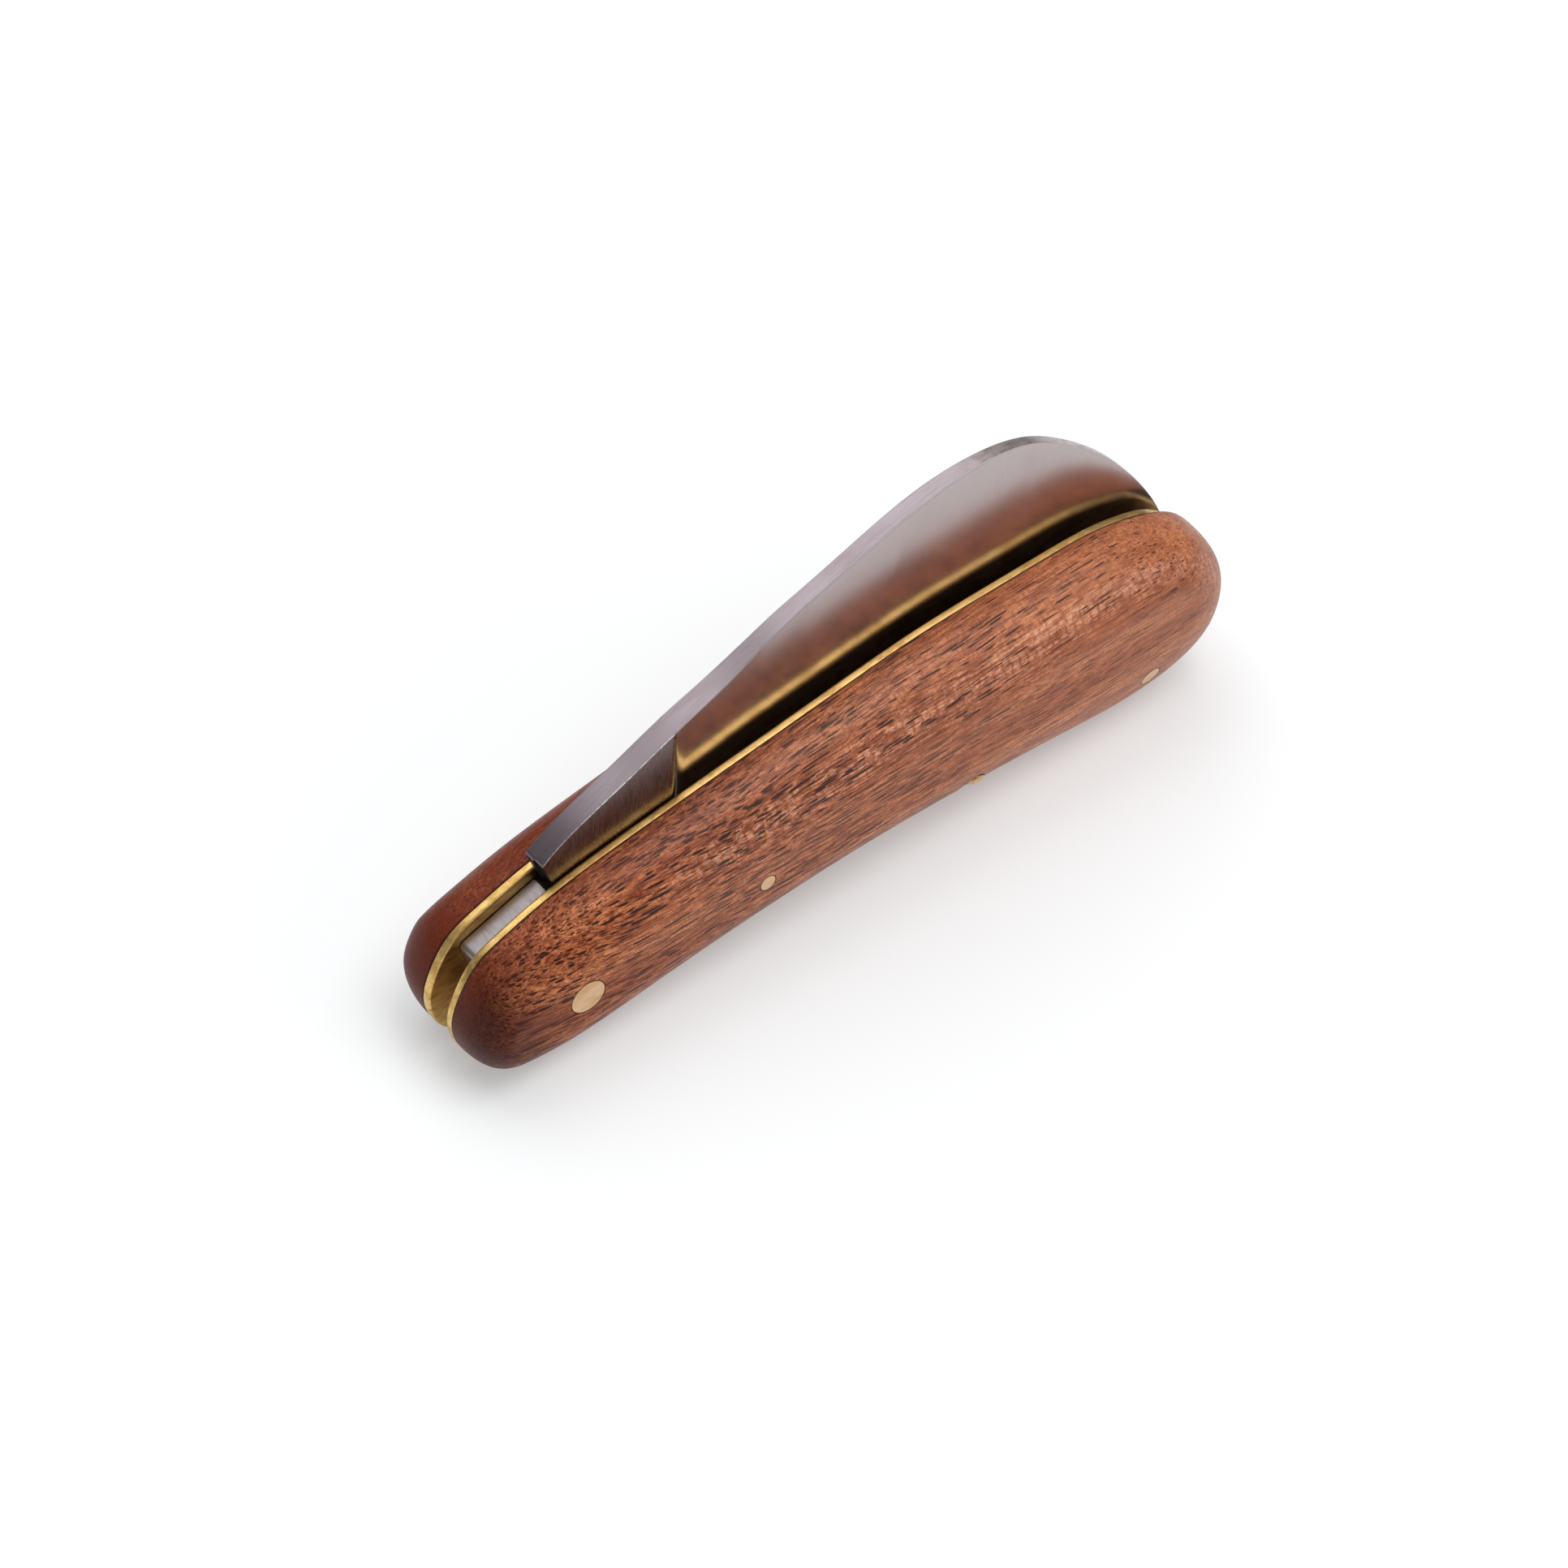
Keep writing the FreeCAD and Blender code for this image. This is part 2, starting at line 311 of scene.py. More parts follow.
@dataclass(frozen=True)
class Fade:
    """Smooth change from start to end while a value goes from low to high."""

    low: float
    high: float
    start: float = 0.0
    end: float = 1.0


@dataclass(frozen=True)
class Tint:
    """Display colour laid over another, by a share that fades with a value."""

    colour: tuple
    fade: Fade


@dataclass(frozen=True)
class Spots:
    """Smooth noise, with its spots per millimetre in three directions and the fade that shows it."""

    scale: tuple
    detail: int = 2
    rough: float = 0.5
    fade: Fade = Fade(*NOISE_SPAN)


class Graph:
    """Writer of one material's nodes."""

    def __init__(self, name: str) -> None:
        """Start an empty material with a principled surface.

        Args:
            name: Name of the material.
        """
        self.material = bpy.data.materials.new(name)
        self.material.use_nodes = True
        self.nodes = self.material.node_tree.nodes
        self.links = self.material.node_tree.links
        self.nodes.clear()
        self.surface = self.add("ShaderNodeBsdfPrincipled")
        self.output = self.add("ShaderNodeOutputMaterial")
        self.links.new(self.surface.outputs[0], self.output.inputs["Surface"])

    def add(self, kind: str, inputs: dict | None = None, **settings: object) -> bpy.types.Node:
        """New node.

        Args:
            kind: Node type.
            inputs: Input name or number to a value or to another node's output.
            settings: Properties of the node.

        Returns:
            The node.
        """
        node = self.nodes.new(kind)
        for name, value in settings.items():
            setattr(node, name, value)
        for name, value in (inputs or {}).items():
            self.feed(node.inputs[name], value)
        return node

    def feed(self, socket: bpy.types.NodeSocket, value: object) -> None:
        """Link an output to a socket, or set the socket's own value.

        Args:
            socket: Input of a node.
            value: Output of another node, or a plain value.
        """
        if isinstance(value, bpy.types.NodeSocket):
            self.links.new(value, socket)
        else:
            socket.default_value = value

    def position(self, scale: tuple = (1, 1, 1)) -> bpy.types.NodeSocket:
        """Object coordinates in millimetres, each times its own scale.

        Args:
            scale: Scales of X, Y and Z.

        Returns:
            The vector.
        """
        coords = self.add("ShaderNodeTexCoord").outputs["Object"]
        stretch = tuple(share / MM for share in scale)
        return self.add("ShaderNodeMapping", {"Vector": coords, "Scale": stretch}).outputs[0]

    def axes(self) -> tuple:
        """Object coordinates in millimetres, as X, Y and Z."""
        return tuple(self.add("ShaderNodeSeparateXYZ", {0: self.position()}).outputs)

    def value(self, name: str) -> bpy.types.NodeSocket:
        """Value that the mesh holds under a name."""
        return self.add("ShaderNodeAttribute", attribute_name=name).outputs["Fac"]

    def along(self, vector: bpy.types.NodeSocket, direction: tuple) -> bpy.types.NodeSocket:
        """Length of a vector along a direction."""
        inputs = {0: vector, 1: direction}
        return self.add("ShaderNodeVectorMath", inputs, operation="DOT_PRODUCT").outputs["Value"]

    def stretched(self, parts: tuple, scales: tuple) -> bpy.types.NodeSocket:
        """Vector of three lengths, each times its own scale."""
        joined = self.add("ShaderNodeCombineXYZ", dict(enumerate(parts))).outputs[0]
        return self.add("ShaderNodeVectorMath", {0: joined, 1: scales}, operation="MULTIPLY").outputs[0]

    def noise(self, spots: Spots, parts: tuple | None = None) -> bpy.types.NodeSocket:
        """Noise from nought to one, on three lengths or, without them, on the object's X, Y and Z.

        Args:
            spots: Kind of noise.
            parts: Three lengths in millimetres, or None.

        Returns:
            The noise.
        """
        vector = self.stretched(parts, spots.scale) if parts else self.position(spots.scale)
        inputs = {"Vector": vector, "Scale": 1.0, "Detail": spots.detail, "Roughness": spots.rough}
        return self.add("ShaderNodeTexNoise", inputs).outputs["Fac"]

    def math(self, kind: str, a: object, b: object = 0.0, c: object = 0.0) -> bpy.types.NodeSocket:
        """Result of one arithmetic step."""
        return self.add("ShaderNodeMath", {0: a, 1: b, 2: c}, operation=kind).outputs[0]

    def times(self, first: object, *others: object) -> object:
        """Product of factors, or the first alone where there is no other.

        Args:
            first: First factor.
            others: Other factors.

        Returns:
            The product.
        """
        for other in others:
            first = self.math("MULTIPLY", first, other)
        return first

    def step(self, value: object, fade: Fade) -> bpy.types.NodeSocket:
        """Value carried through a fade.

        Args:
            value: Value to carry.
            fade: The fade.

        Returns:
            The fade's result.
        """
        source = {"Value": value, "From Min": fade.low, "From Max": fade.high}
        result = {"To Min": fade.start, "To Max": fade.end}
        return self.add("ShaderNodeMapRange", source | result, interpolation_type="SMOOTHSTEP").outputs["Result"]

    def mix(self, share: object, a: object, b: object) -> bpy.types.NodeSocket:
        """Colour between a and b.

        Args:
            share: Share of b.
            a: First colour.
            b: Second colour.

        Returns:
            The mixed colour.
        """
        node = self.add("ShaderNodeMix", data_type="RGBA")
        for socket, value in zip((node.inputs[0], node.inputs[6], node.inputs[7]), (share, a, b)):
            self.feed(socket, value)
        return node.outputs[2]

    def tint(self, colour: object, tint: Tint, value: object, *factors: object) -> bpy.types.NodeSocket:
        """Colour under a tint, laid on by its share at a value and by any factors."""
        return self.mix(self.times(self.step(value, tint.fade), *factors), colour, rgb(*tint.colour))

    def bump(self, height: bpy.types.NodeSocket, depth: float, strength: float) -> bpy.types.NodeSocket:
        """Normal of a surface raised by a height from nought to one, of a depth in millimetres."""
        inputs = {"Height": height, "Distance": depth * MM, "Strength": strength}
        return self.add("ShaderNodeBump", inputs).outputs[0]

    def finish(self, **inputs: object) -> bpy.types.Material:
        """Feed the principled surface and hand over the material.

        Args:
            inputs: Input names, with underscores for spaces, to values or outputs of nodes.

        Returns:
            The material.
        """
        for name, value in inputs.items():
            self.feed(self.surface.inputs[name.replace("_", " ")], value)
        return self.material


def rgb(red: float, green: float, blue: float) -> tuple:
    """Linear colour from display values of nought to 255, by the curve of the sRGB standard.

    Args:
        red: Red.
        green: Green.
        blue: Blue.

    Returns:
        The linear colour, with full opacity.
    """
    shares = np.array([red, green, blue]) / 255
    linear = np.where(shares <= 0.04045, shares / 12.92, ((shares + 0.055) / 1.055) ** 2.4)
    return (*(float(v) for v in linear), 1.0)


@dataclass(frozen=True)
class PaleSheenStreak:
    """Paler streak along the shoulder of the front scale, partly paler wood and partly painted highlight, cut up by
    small bars and by a noise.
    """

    colour: tuple = (236, 172, 140)
    # The streak's middle lies at a depth towards minus Y that changes by the slope along X.
    slope: float = 0.018
    depth: float = 9.2
    width: Fade = Fade(0.3, 1.5, 0.8, 0.0)
    height: Fade = Fade(14.0, 20.0)
    start: Fade = Fade(-36.0, -22.0)
    # Bars across the streak, and gaps where the noise is high.
    bars_per_mm: float = 0.85
    bar_sway: float = 1.6
    bar_edge: Fade = Fade(0.08, 0.22)
    gaps: Fade = Fade(0.45, 0.65, 1.0, 0.3)

    def share(self, g: Graph, axes: tuple, noise: bpy.types.NodeSocket) -> bpy.types.NodeSocket:
        """Share of the streak's colour at a place.

        Args:
            g: The graph.
            axes: X, Y and Z.
            noise: Noise that sways the bars and opens gaps.

        Returns:
            The share.
        """
        x, y, z = axes
        away = g.math("ADD", g.math("MULTIPLY_ADD", x, self.slope, y), self.depth)
        bars = g.math("FRACT", g.math("MULTIPLY_ADD", x, self.bars_per_mm, g.times(noise, self.bar_sway)))
        return g.times(
            g.step(g.math("ABSOLUTE", away), self.width),
            g.step(z, self.height),
            g.step(x, self.start),
            g.step(g.math("ABSOLUTE", g.math("SUBTRACT", bars, 0.5)), self.bar_edge),
            g.step(noise, self.gaps),
        )


@dataclass(frozen=True)
class Rays:
    """Thin flat sheets in the wood, which show as short bars where the surface lies along them."""

    tint: Tint = Tint((158, 80, 46), Fade(0.24, 0.3, 0.5, 0.0))
    lean: tuple = (0.8, 0.6)
    scale: tuple = (1.5, 0.55, 2.4)
    randomness: float = 0.7

    def distance(self, g: Graph, grain: tuple) -> bpy.types.NodeSocket:
        """Distance from the middle of a ray, in the section turned by the lean's cosine and sine.

        Args:
            g: The graph.
            grain: Lengths along, across and up the grain.

        Returns:
            The distance, in cells.
        """
        along, across, up = grain
        cosine, sine = self.lean
        outwards = g.math("MULTIPLY_ADD", across, cosine, g.times(up, sine))
        around = g.math("MULTIPLY_ADD", across, -sine, g.times(up, cosine))
        vector = g.stretched((along, outwards, around), self.scale)
        inputs = {"Vector": vector, "Scale": 1.0, "Randomness": self.randomness}
        return g.add("ShaderNodeTexVoronoi", inputs, distance="CHEBYCHEV").outputs["Distance"]


@dataclass(frozen=True)
class Pores:
    """Cut faces of tubes along the grain, of one kind.

    Each tube stands in its own cell of a section across the grain, has its own radius and opens
    and closes along its length. The crowd is in tubes per millimetre, the radii in millimetres.
    """

    crowd: float
    least: float
    most: float
    share: float
    lots: float = 80.0
    gates_per_mm: float = 0.26
    opening: Fade = Fade(0.42, 0.56)
    fray: float = 0.5
    rim: float = 0.02

    def mask(
        self, g: Graph, grain: tuple, opened_share: bpy.types.NodeSocket, rough: bpy.types.NodeSocket
    ) -> bpy.types.NodeSocket:
        """Where the tubes show.

        Args:
            g: The graph.
            grain: Lengths along, across and up the grain.
            opened_share: Share of the radius that is open at a place.
            rough: Noise that frays the rim of each tube.

        Returns:
            One inside a tube, nought outside.
        """
        along, across, up = grain
        section = g.stretched((across, up, 0.0), (self.crowd, self.crowd, 1.0))
        cells = g.add("ShaderNodeTexVoronoi", {"Vector": section, "Scale": 1.0}, voronoi_dimensions="2D")
        lot = g.add("ShaderNodeSeparateColor", {0: cells.outputs["Color"]})
        length = g.math("MULTIPLY_ADD", lot.outputs[0], self.lots, g.times(along, self.gates_per_mm))
        gate = g.add("ShaderNodeTexNoise", {"W": length, "Scale": 1.0, "Detail": 0.0}, noise_dimensions="1D")
        opened = g.step(gate.outputs["Fac"], self.opening)
        radius = g.step(lot.outputs[1], Fade(0.0, 1.0, self.least * self.crowd, self.most * self.crowd))
        inside = g.math("SUBTRACT", cells.outputs["Distance"], g.times(radius, opened, opened_share))
        inside = g.math("MULTIPLY_ADD", g.math("SUBTRACT", rough, 0.5), self.fray, inside)
        rim = self.rim * self.crowd
        return g.times(g.step(inside, Fade(-rim, rim, 1.0, 0.0)), opened)


@dataclass(frozen=True)
class WoodFinish:
    """Oiled red-brown hardwood with open pores.

    The pattern is a solid block of wood. Its pores are long round tubes that run along the grain,
    which rises a little towards the butt, so the rounded surface cuts them into long lines on the
    flank, short streaks along the slot and dots at the ends.
    """

    pins: tuple = ()
    # Colours of the bands, of the darker weaves and of the pores.
    light: tuple = (224, 142, 94)
    middle: tuple = (190, 108, 66)
    dark: tuple = (106, 44, 24)
    pore: tuple = (50, 20, 13)
    # Course of the grain: its tilt in degrees, its dip at the pivot end and its sway to the sides.
    grain_tilt: float = 2.5
    dip_from: float = -15.0
    dip: float = 0.0028
    sway: Spots = Spots((0.035, 0.07, 0.07), 1)
    sway_width: float = 3.4
    sway_apart: float = 900.0
    # Weaves of the wood, and their contrast along the grain.
    bands: Spots = Spots((0.012, 0.3, 0.3), 3, 0.55, Fade(0.34, 0.66))
    clumps: Spots = Spots((0.3, 1.5, 1.5), 2, 0.6, Fade(0.45, 0.65, 0.0, 0.5))
    fibres: Spots = Spots((0.2, 4.0, 4.0), 3, 0.8, Fade(0.4, 0.66, 0.0, 0.85))
    ripple: Spots = Spots((3.0, 4.0, 4.0), 1, 0.6, Fade(0.5, 0.66, 0.0, 0.42))
    contrast: Fade = Fade(-10.0, 45.0, 1.15, 0.72)
    # Kinds of pores, and how far they are open by band, along the grain and by Y.
    wide: Pores = Pores(2.6, 0.065, 0.135, 0.96)
    fine: Pores = Pores(4.6, 0.035, 0.06, 0.75)
    open_bands: Fade = Fade(0.65, 0.35, 0.85, 1.2)
    open_along: Fade = Fade(-35.0, 40.0, 1.2, 0.75)
    open_side: Fade = Fade(-0.5, 0.5, 1.0, 0.75)
    # Painted shade at the pivot end and towards the butt, darker wood with painted shade on the far scale, and darker
    # wood beside the slot, by X or Y.
    end_shade: Tint = Tint((60, 18, 12), Fade(-50.0, -39.0, 0.9, 0.0))
    end_spots: Spots = Spots((0.12, 0.12, 0.12))
    end_ragged: float = 9.0
    far_tone_and_shade: Tint = Tint((92, 26, 14), Fade(-0.5, 0.5, 0.0, 0.6))
    butt_shade: Tint = Tint((132, 74, 50), Fade(22.0, 50.0, 0.0, 0.35))
    slot_shade: Tint = Tint((110, 44, 24), Fade(-7.0, -3.0))
    slot_front: Fade = Fade(-32.0, 0.0, 0.4, 0.0)
    # Painted shade in the gaps beside the liner and round each pin, by the distance from the middle plane and from a
    # pin's rim.
    liner_gap_shade: Tint = Tint((34, 18, 12), Fade(2.62, 2.9, 0.85, 0.0))
    pin_gap_shade: Tint = Tint((34, 18, 12), Fade(0.07, 0.24, 0.9, 0.0))
    # Gloss by Y and by X, roughness by the fibres, and the pores' relief.
    gloss_side: Fade = Fade(-0.5, 0.5, 0.3, 0.1)
    gloss_end: Fade = Fade(-46.0, -20.0, 0.12, 0.3)
    roughness: Fade = Fade(*NOISE_SPAN, 0.34, 0.46)
    pore_depth: float = 0.04
    fibre_height: float = 0.2
    relief: float = 0.6

    def grain(self, g: Graph) -> tuple:
        """Lengths along, across and up the grain.

        Each length to the side is a straight one plus a wide smooth noise. The grain dips in front
        of a place by the square of the distance from it.

        Args:
            g: The graph.

        Returns:
            The three lengths.
        """
        place = g.position()
        tilt = math.radians(self.grain_tilt)
        along = g.along(place, (math.cos(tilt), 0, math.sin(tilt)))
        sides = g.along(place, (0, 1, 0)), g.along(place, (-math.sin(tilt), 0, math.cos(tilt)))
        starts = along, g.math("ADD", along, self.sway_apart)
        sways = (g.math("SUBTRACT", g.noise(self.sway, (start, *sides)), 0.5) for start in starts)
        across, up = (g.math("MULTIPLY_ADD", sway, self.sway_width, side) for sway, side in zip(sways, sides))
        front = g.math("MAXIMUM", g.math("SUBTRACT", self.dip_from, along), 0.0)
        return along, across, g.math("MULTIPLY_ADD", g.times(front, front), -self.dip, up)

    @staticmethod
    def off_rim(g: Graph, axes: tuple, pin: tuple) -> bpy.types.NodeSocket:
        """Distance from the rim of a pin's head.

        Args:
            g: The graph.
            axes: X, Y and Z.
            pin: X, Z and radius of the pin.

        Returns:
            The distance.
        """
        x, z, radius = pin
        dx, dz = g.math("SUBTRACT", axes[0], x), g.math("SUBTRACT", axes[2], z)
        away = g.math("SQRT", g.math("MULTIPLY_ADD", dx, dx, g.times(dz, dz)))
        return g.math("ABSOLUTE", g.math("SUBTRACT", away, radius))

    def material(self) -> bpy.types.Material:
        """Build the wood.

        Returns:
            The material.
        """
        g = Graph("oiled_hardwood")
        axes = x, y, _ = g.axes()
        grain = self.grain(g)
        weaves = (self.bands, self.clumps, self.fibres, self.ripple)
        bands, *darker = (g.noise(weave, grain) for weave in weaves)
        clumps, fibres, _ = darker
        colour = g.mix(g.step(bands, self.bands.fade), rgb(*self.middle), rgb(*self.light))
        # Paler wood and painted highlight along the shoulder.
        sheen_streak = PaleSheenStreak()
        colour = g.mix(sheen_streak.share(g, axes, clumps), colour, rgb(*sheen_streak.colour))
        contrast = g.step(grain[0], self.contrast)
        for noise, weave in zip(darker, weaves[1:]):
            colour = g.tint(colour, Tint(self.dark, weave.fade), noise, contrast)
        rays = Rays()
        colour = g.tint(colour, rays.tint, rays.distance(g, grain))
        opened = (g.step(bands, self.open_bands), g.step(grain[0], self.open_along), g.step(y, self.open_side))
        wide, fine = (pores.mask(g, grain, g.times(*opened), fibres) for pores in (self.wide, self.fine))
        for mask, pores in ((fine, self.fine), (wide, self.wide)):
            colour = g.mix(g.times(mask, pores.share), colour, rgb(*self.pore))
        # Painted shade at the pivot end and towards the butt, and darker wood with painted shade on the far scale.
        end = g.math("MULTIPLY_ADD", g.noise(self.end_spots), self.end_ragged, x)
        for tint, value in ((self.end_shade, end), (self.far_tone_and_shade, y), (self.butt_shade, x)):
            colour = g.tint(colour, tint, value)
        colour = g.tint(colour, self.slot_shade, y, g.step(x, self.slot_front))
        # Painted shade in the gap beside the liner and round each pin's head.
        colour = g.tint(colour, self.liner_gap_shade, g.math("ABSOLUTE", y))
        for pin in self.pins:
            colour = g.tint(colour, self.pin_gap_shade, self.off_rim(g, axes, pin))
        height = g.math("MULTIPLY_ADD", fibres, self.fibre_height, g.math("SUBTRACT", 1.0, wide))
        return g.finish(
            Base_Color=colour,
            Roughness=g.step(fibres, self.roughness),
            Normal=g.bump(height, self.pore_depth, self.relief),
            Specular_IOR_Level=g.math("MINIMUM", g.step(y, self.gloss_side), g.step(x, self.gloss_end)),
        )


@dataclass(frozen=True)
class BrassFinish:
    """Satin brass with fine marks along X, dull patches and brown stains."""

    name: str = "satin_brass"
    colour: tuple = (226, 190, 120)
    dull: tuple = (188, 148, 86)
    stained: float = 0.45
    stain: tuple = (120, 82, 38)
    marks: Spots = Spots((0.5, 14.0, 14.0), 3, 0.6)
    patches: Spots = Spots((0.25, 0.6, 0.6), 3, 0.6, Fade(0.4, 0.7))
    stains: Spots = Spots((0.6, 1.6, 1.6), 4, 0.7, Fade(0.45, 0.7))
    roughness: Fade = Fade(*NOISE_SPAN, 0.3, 0.46)
    mark_depth: float = 0.003
    relief: float = 0.5

    def material(self) -> bpy.types.Material:
        """Build the brass.

        Returns:
            The material.
        """
        g = Graph(self.name)
        marks = g.noise(self.marks)
        colour = g.tint(rgb(*self.colour), Tint(self.dull, self.patches.fade), g.noise(self.patches))
        colour = g.tint(colour, Tint(self.stain, self.stains.fade), g.noise(self.stains), self.stained)
        return g.finish(
            Base_Color=colour,
            Metallic=1.0,
            Roughness=g.step(marks, self.roughness),
            Normal=g.bump(marks, self.mark_depth, self.relief),
        )


def fine_marks(x: float, y: float, z: float) -> Spots:
    """Fine marks, with their spots per millimetre along X, Y and Z."""
    return Spots((x, y, z), 4, 0.7, Fade(0.5, 0.7))


@dataclass(frozen=True)
class HeelShade:
    """Shade on the spine that fades away from the heel."""

    tint: Tint = Tint((60, 50, 58), Fade(-38.0, -29.5, 0.5, 0.0))

    def lay(self, g: Graph, colour: bpy.types.NodeSocket) -> bpy.types.NodeSocket:
        """Colour under the shade."""
        return g.tint(colour, self.tint, g.axes()[0])


@dataclass(frozen=True)
class WornSpineGlint:
    """Mottling, lighter on the whole as painted highlight, where the spine is highest, and a painted highlight along
    the worn edge where the mesh's worn value is one.
    """

    highest: Fade = Fade(14.0, 26.0, 0.0, 0.75)
    mottling: Spots = Spots((0.8, 1.2, 0.8), 3, 0.6)
    mottles: tuple = (
        Tint((208, 194, 192), Fade(0.4, 0.6, 0.6, 1.0)),
        Tint((140, 118, 108), Fade(0.48, 0.36, 0.0, 0.5)),
    )
    # Painted highlight along the worn edge, broken up by ticks.
    glint: tuple = (250, 246, 248)
    ticks: Spots = Spots((3.0, 3.0, 3.0), fade=Fade(0.35, 0.6, 0.3, 0.95))
    off_heel: Fade = Fade(-40.0, -30.0, 0.4, 1.0)

    def lay(self, g: Graph, colour: bpy.types.NodeSocket) -> bpy.types.NodeSocket:
        """Colour under the mottling and the painted highlights.

        Args:
            g: The graph.
            colour: Colour below.

        Returns:
            The colour.
        """
        x, mottling = g.axes()[0], g.noise(self.mottling)
        highest = g.step(x, self.highest)
        # Mottling that lightens the highest part as painted highlight, then the painted highlight along the worn edge.
        for tint in self.mottles:
            colour = g.tint(colour, tint, mottling, highest)
        ticks = g.step(g.noise(self.ticks), self.ticks.fade)
        share = g.times(g.value("worn"), ticks, g.step(x, self.off_heel))
        return g.mix(share, colour, rgb(*self.glint))


@dataclass(frozen=True)
class SpineStrip:
    """Narrow strip along the spine, pale, with painted shade as a dark line at its rim and at the crease of its foot.

    The mesh's strip value goes from nought at the rim to one at the foot.
    """

    pale: Tint = Tint((206, 198, 202), Fade(0.95, 1.0, 0.5, 0.0))
    # Painted shade of the lines at the rim and at the foot.
    dark: tuple = (60, 50, 52)
    foot: Fade = Fade(0.06, 0.18, 0.75, 0.0)
    rim: Fade = Fade(0.12, 0.3, 0.65, 0.0)

    def lay(self, g: Graph, colour: bpy.types.NodeSocket) -> bpy.types.NodeSocket:
        """Colour under the strip and its painted shade lines.

        Args:
            g: The graph.
            colour: Colour below.

        Returns:
            The colour.
        """
        place = g.value("strip")
        foot = g.step(g.math("ABSOLUTE", g.math("SUBTRACT", place, 1.0)), self.foot)
        shade_lines = g.math("MAXIMUM", foot, g.step(place, self.rim))
        return g.mix(shade_lines, g.tint(colour, self.pale, place), rgb(*self.dark))


@dataclass(frozen=True)
class Pits:
    """Small dark pits, each in its own cell and of its own size."""

    scale: tuple = (0.8, 0.8, 0.8)
    size: Fade = Fade(0.7, 1.0, 0.0, 0.17)
    tint: Tint = Tint((46, 34, 28), Fade(-0.08, 0.02, 0.8, 0.0))

    def lay(self, g: Graph, colour: bpy.types.NodeSocket) -> bpy.types.NodeSocket:
        """Colour under the pits.

        Args:
            g: The graph.
            colour: Colour below.

        Returns:
            The colour.
        """
        cells = g.add("ShaderNodeTexVoronoi", {"Vector": g.position(self.scale), "Scale": 1.0})
        lot = g.add("ShaderNodeSeparateColor", {0: cells.outputs["Color"]}).outputs[0]
        return g.tint(colour, self.tint, g.math("SUBTRACT", cells.outputs["Distance"], g.step(lot, self.size)))


@dataclass(frozen=True)
class HeelCornerDarkening:
    """Darker in the corner between the tang and the heel, with a ragged edge."""

    tint: Tint = Tint((24, 20, 18), Fade(-40.3, -40.18))
    spots: Spots = Spots((2.0, 2.0, 2.0))
    ragged: float = 0.4

    def lay(self, g: Graph, colour: bpy.types.NodeSocket) -> bpy.types.NodeSocket:
        """Colour, darker in the corner."""
        edge = g.math("MULTIPLY_ADD", g.noise(self.spots), self.ragged, g.axes()[0])
        return g.tint(colour, self.tint, edge)


@dataclass(frozen=True)
class SteelFinish:
    """Steel with fine marks drawn in one direction, soft stains and any extras laid over them."""

    name: str
    colour: tuple
    roughness: float = 0.3
    marks: Spots = fine_marks(0.25, 12.0, 0.25)
    depth: float = 0.003
    stain: tuple = (120, 98, 92)
    stained: float = 0.2
    marked: float = 0.45
    spread: float = 0.07
    extras: tuple = ()
    clouds: Spots = Spots((0.2, 0.5, 0.2), 3, 0.6, Fade(0.45, 0.8))
    relief: float = 0.5

    def material(self) -> bpy.types.Material:
        """Build the steel.

        Returns:
            The material.
        """
        g = Graph(self.name)
        marks = g.noise(self.marks)
        colour = g.tint(rgb(*self.colour), Tint(self.stain, self.clouds.fade), g.noise(self.clouds), self.stained)
        colour = g.tint(colour, Tint(self.stain, self.marks.fade), marks, self.marked)
        for extra in self.extras:
            colour = extra.lay(g, colour)
        rough = Fade(*NOISE_SPAN, self.roughness - self.spread, self.roughness + self.spread)
        return g.finish(
            Base_Color=colour,
            Metallic=1.0,
            Roughness=g.step(marks, rough),
            Normal=g.bump(marks, self.depth, self.relief),
        )


# ---------------------------------------------------------------------------------------------
# Handle
# ---------------------------------------------------------------------------------------------


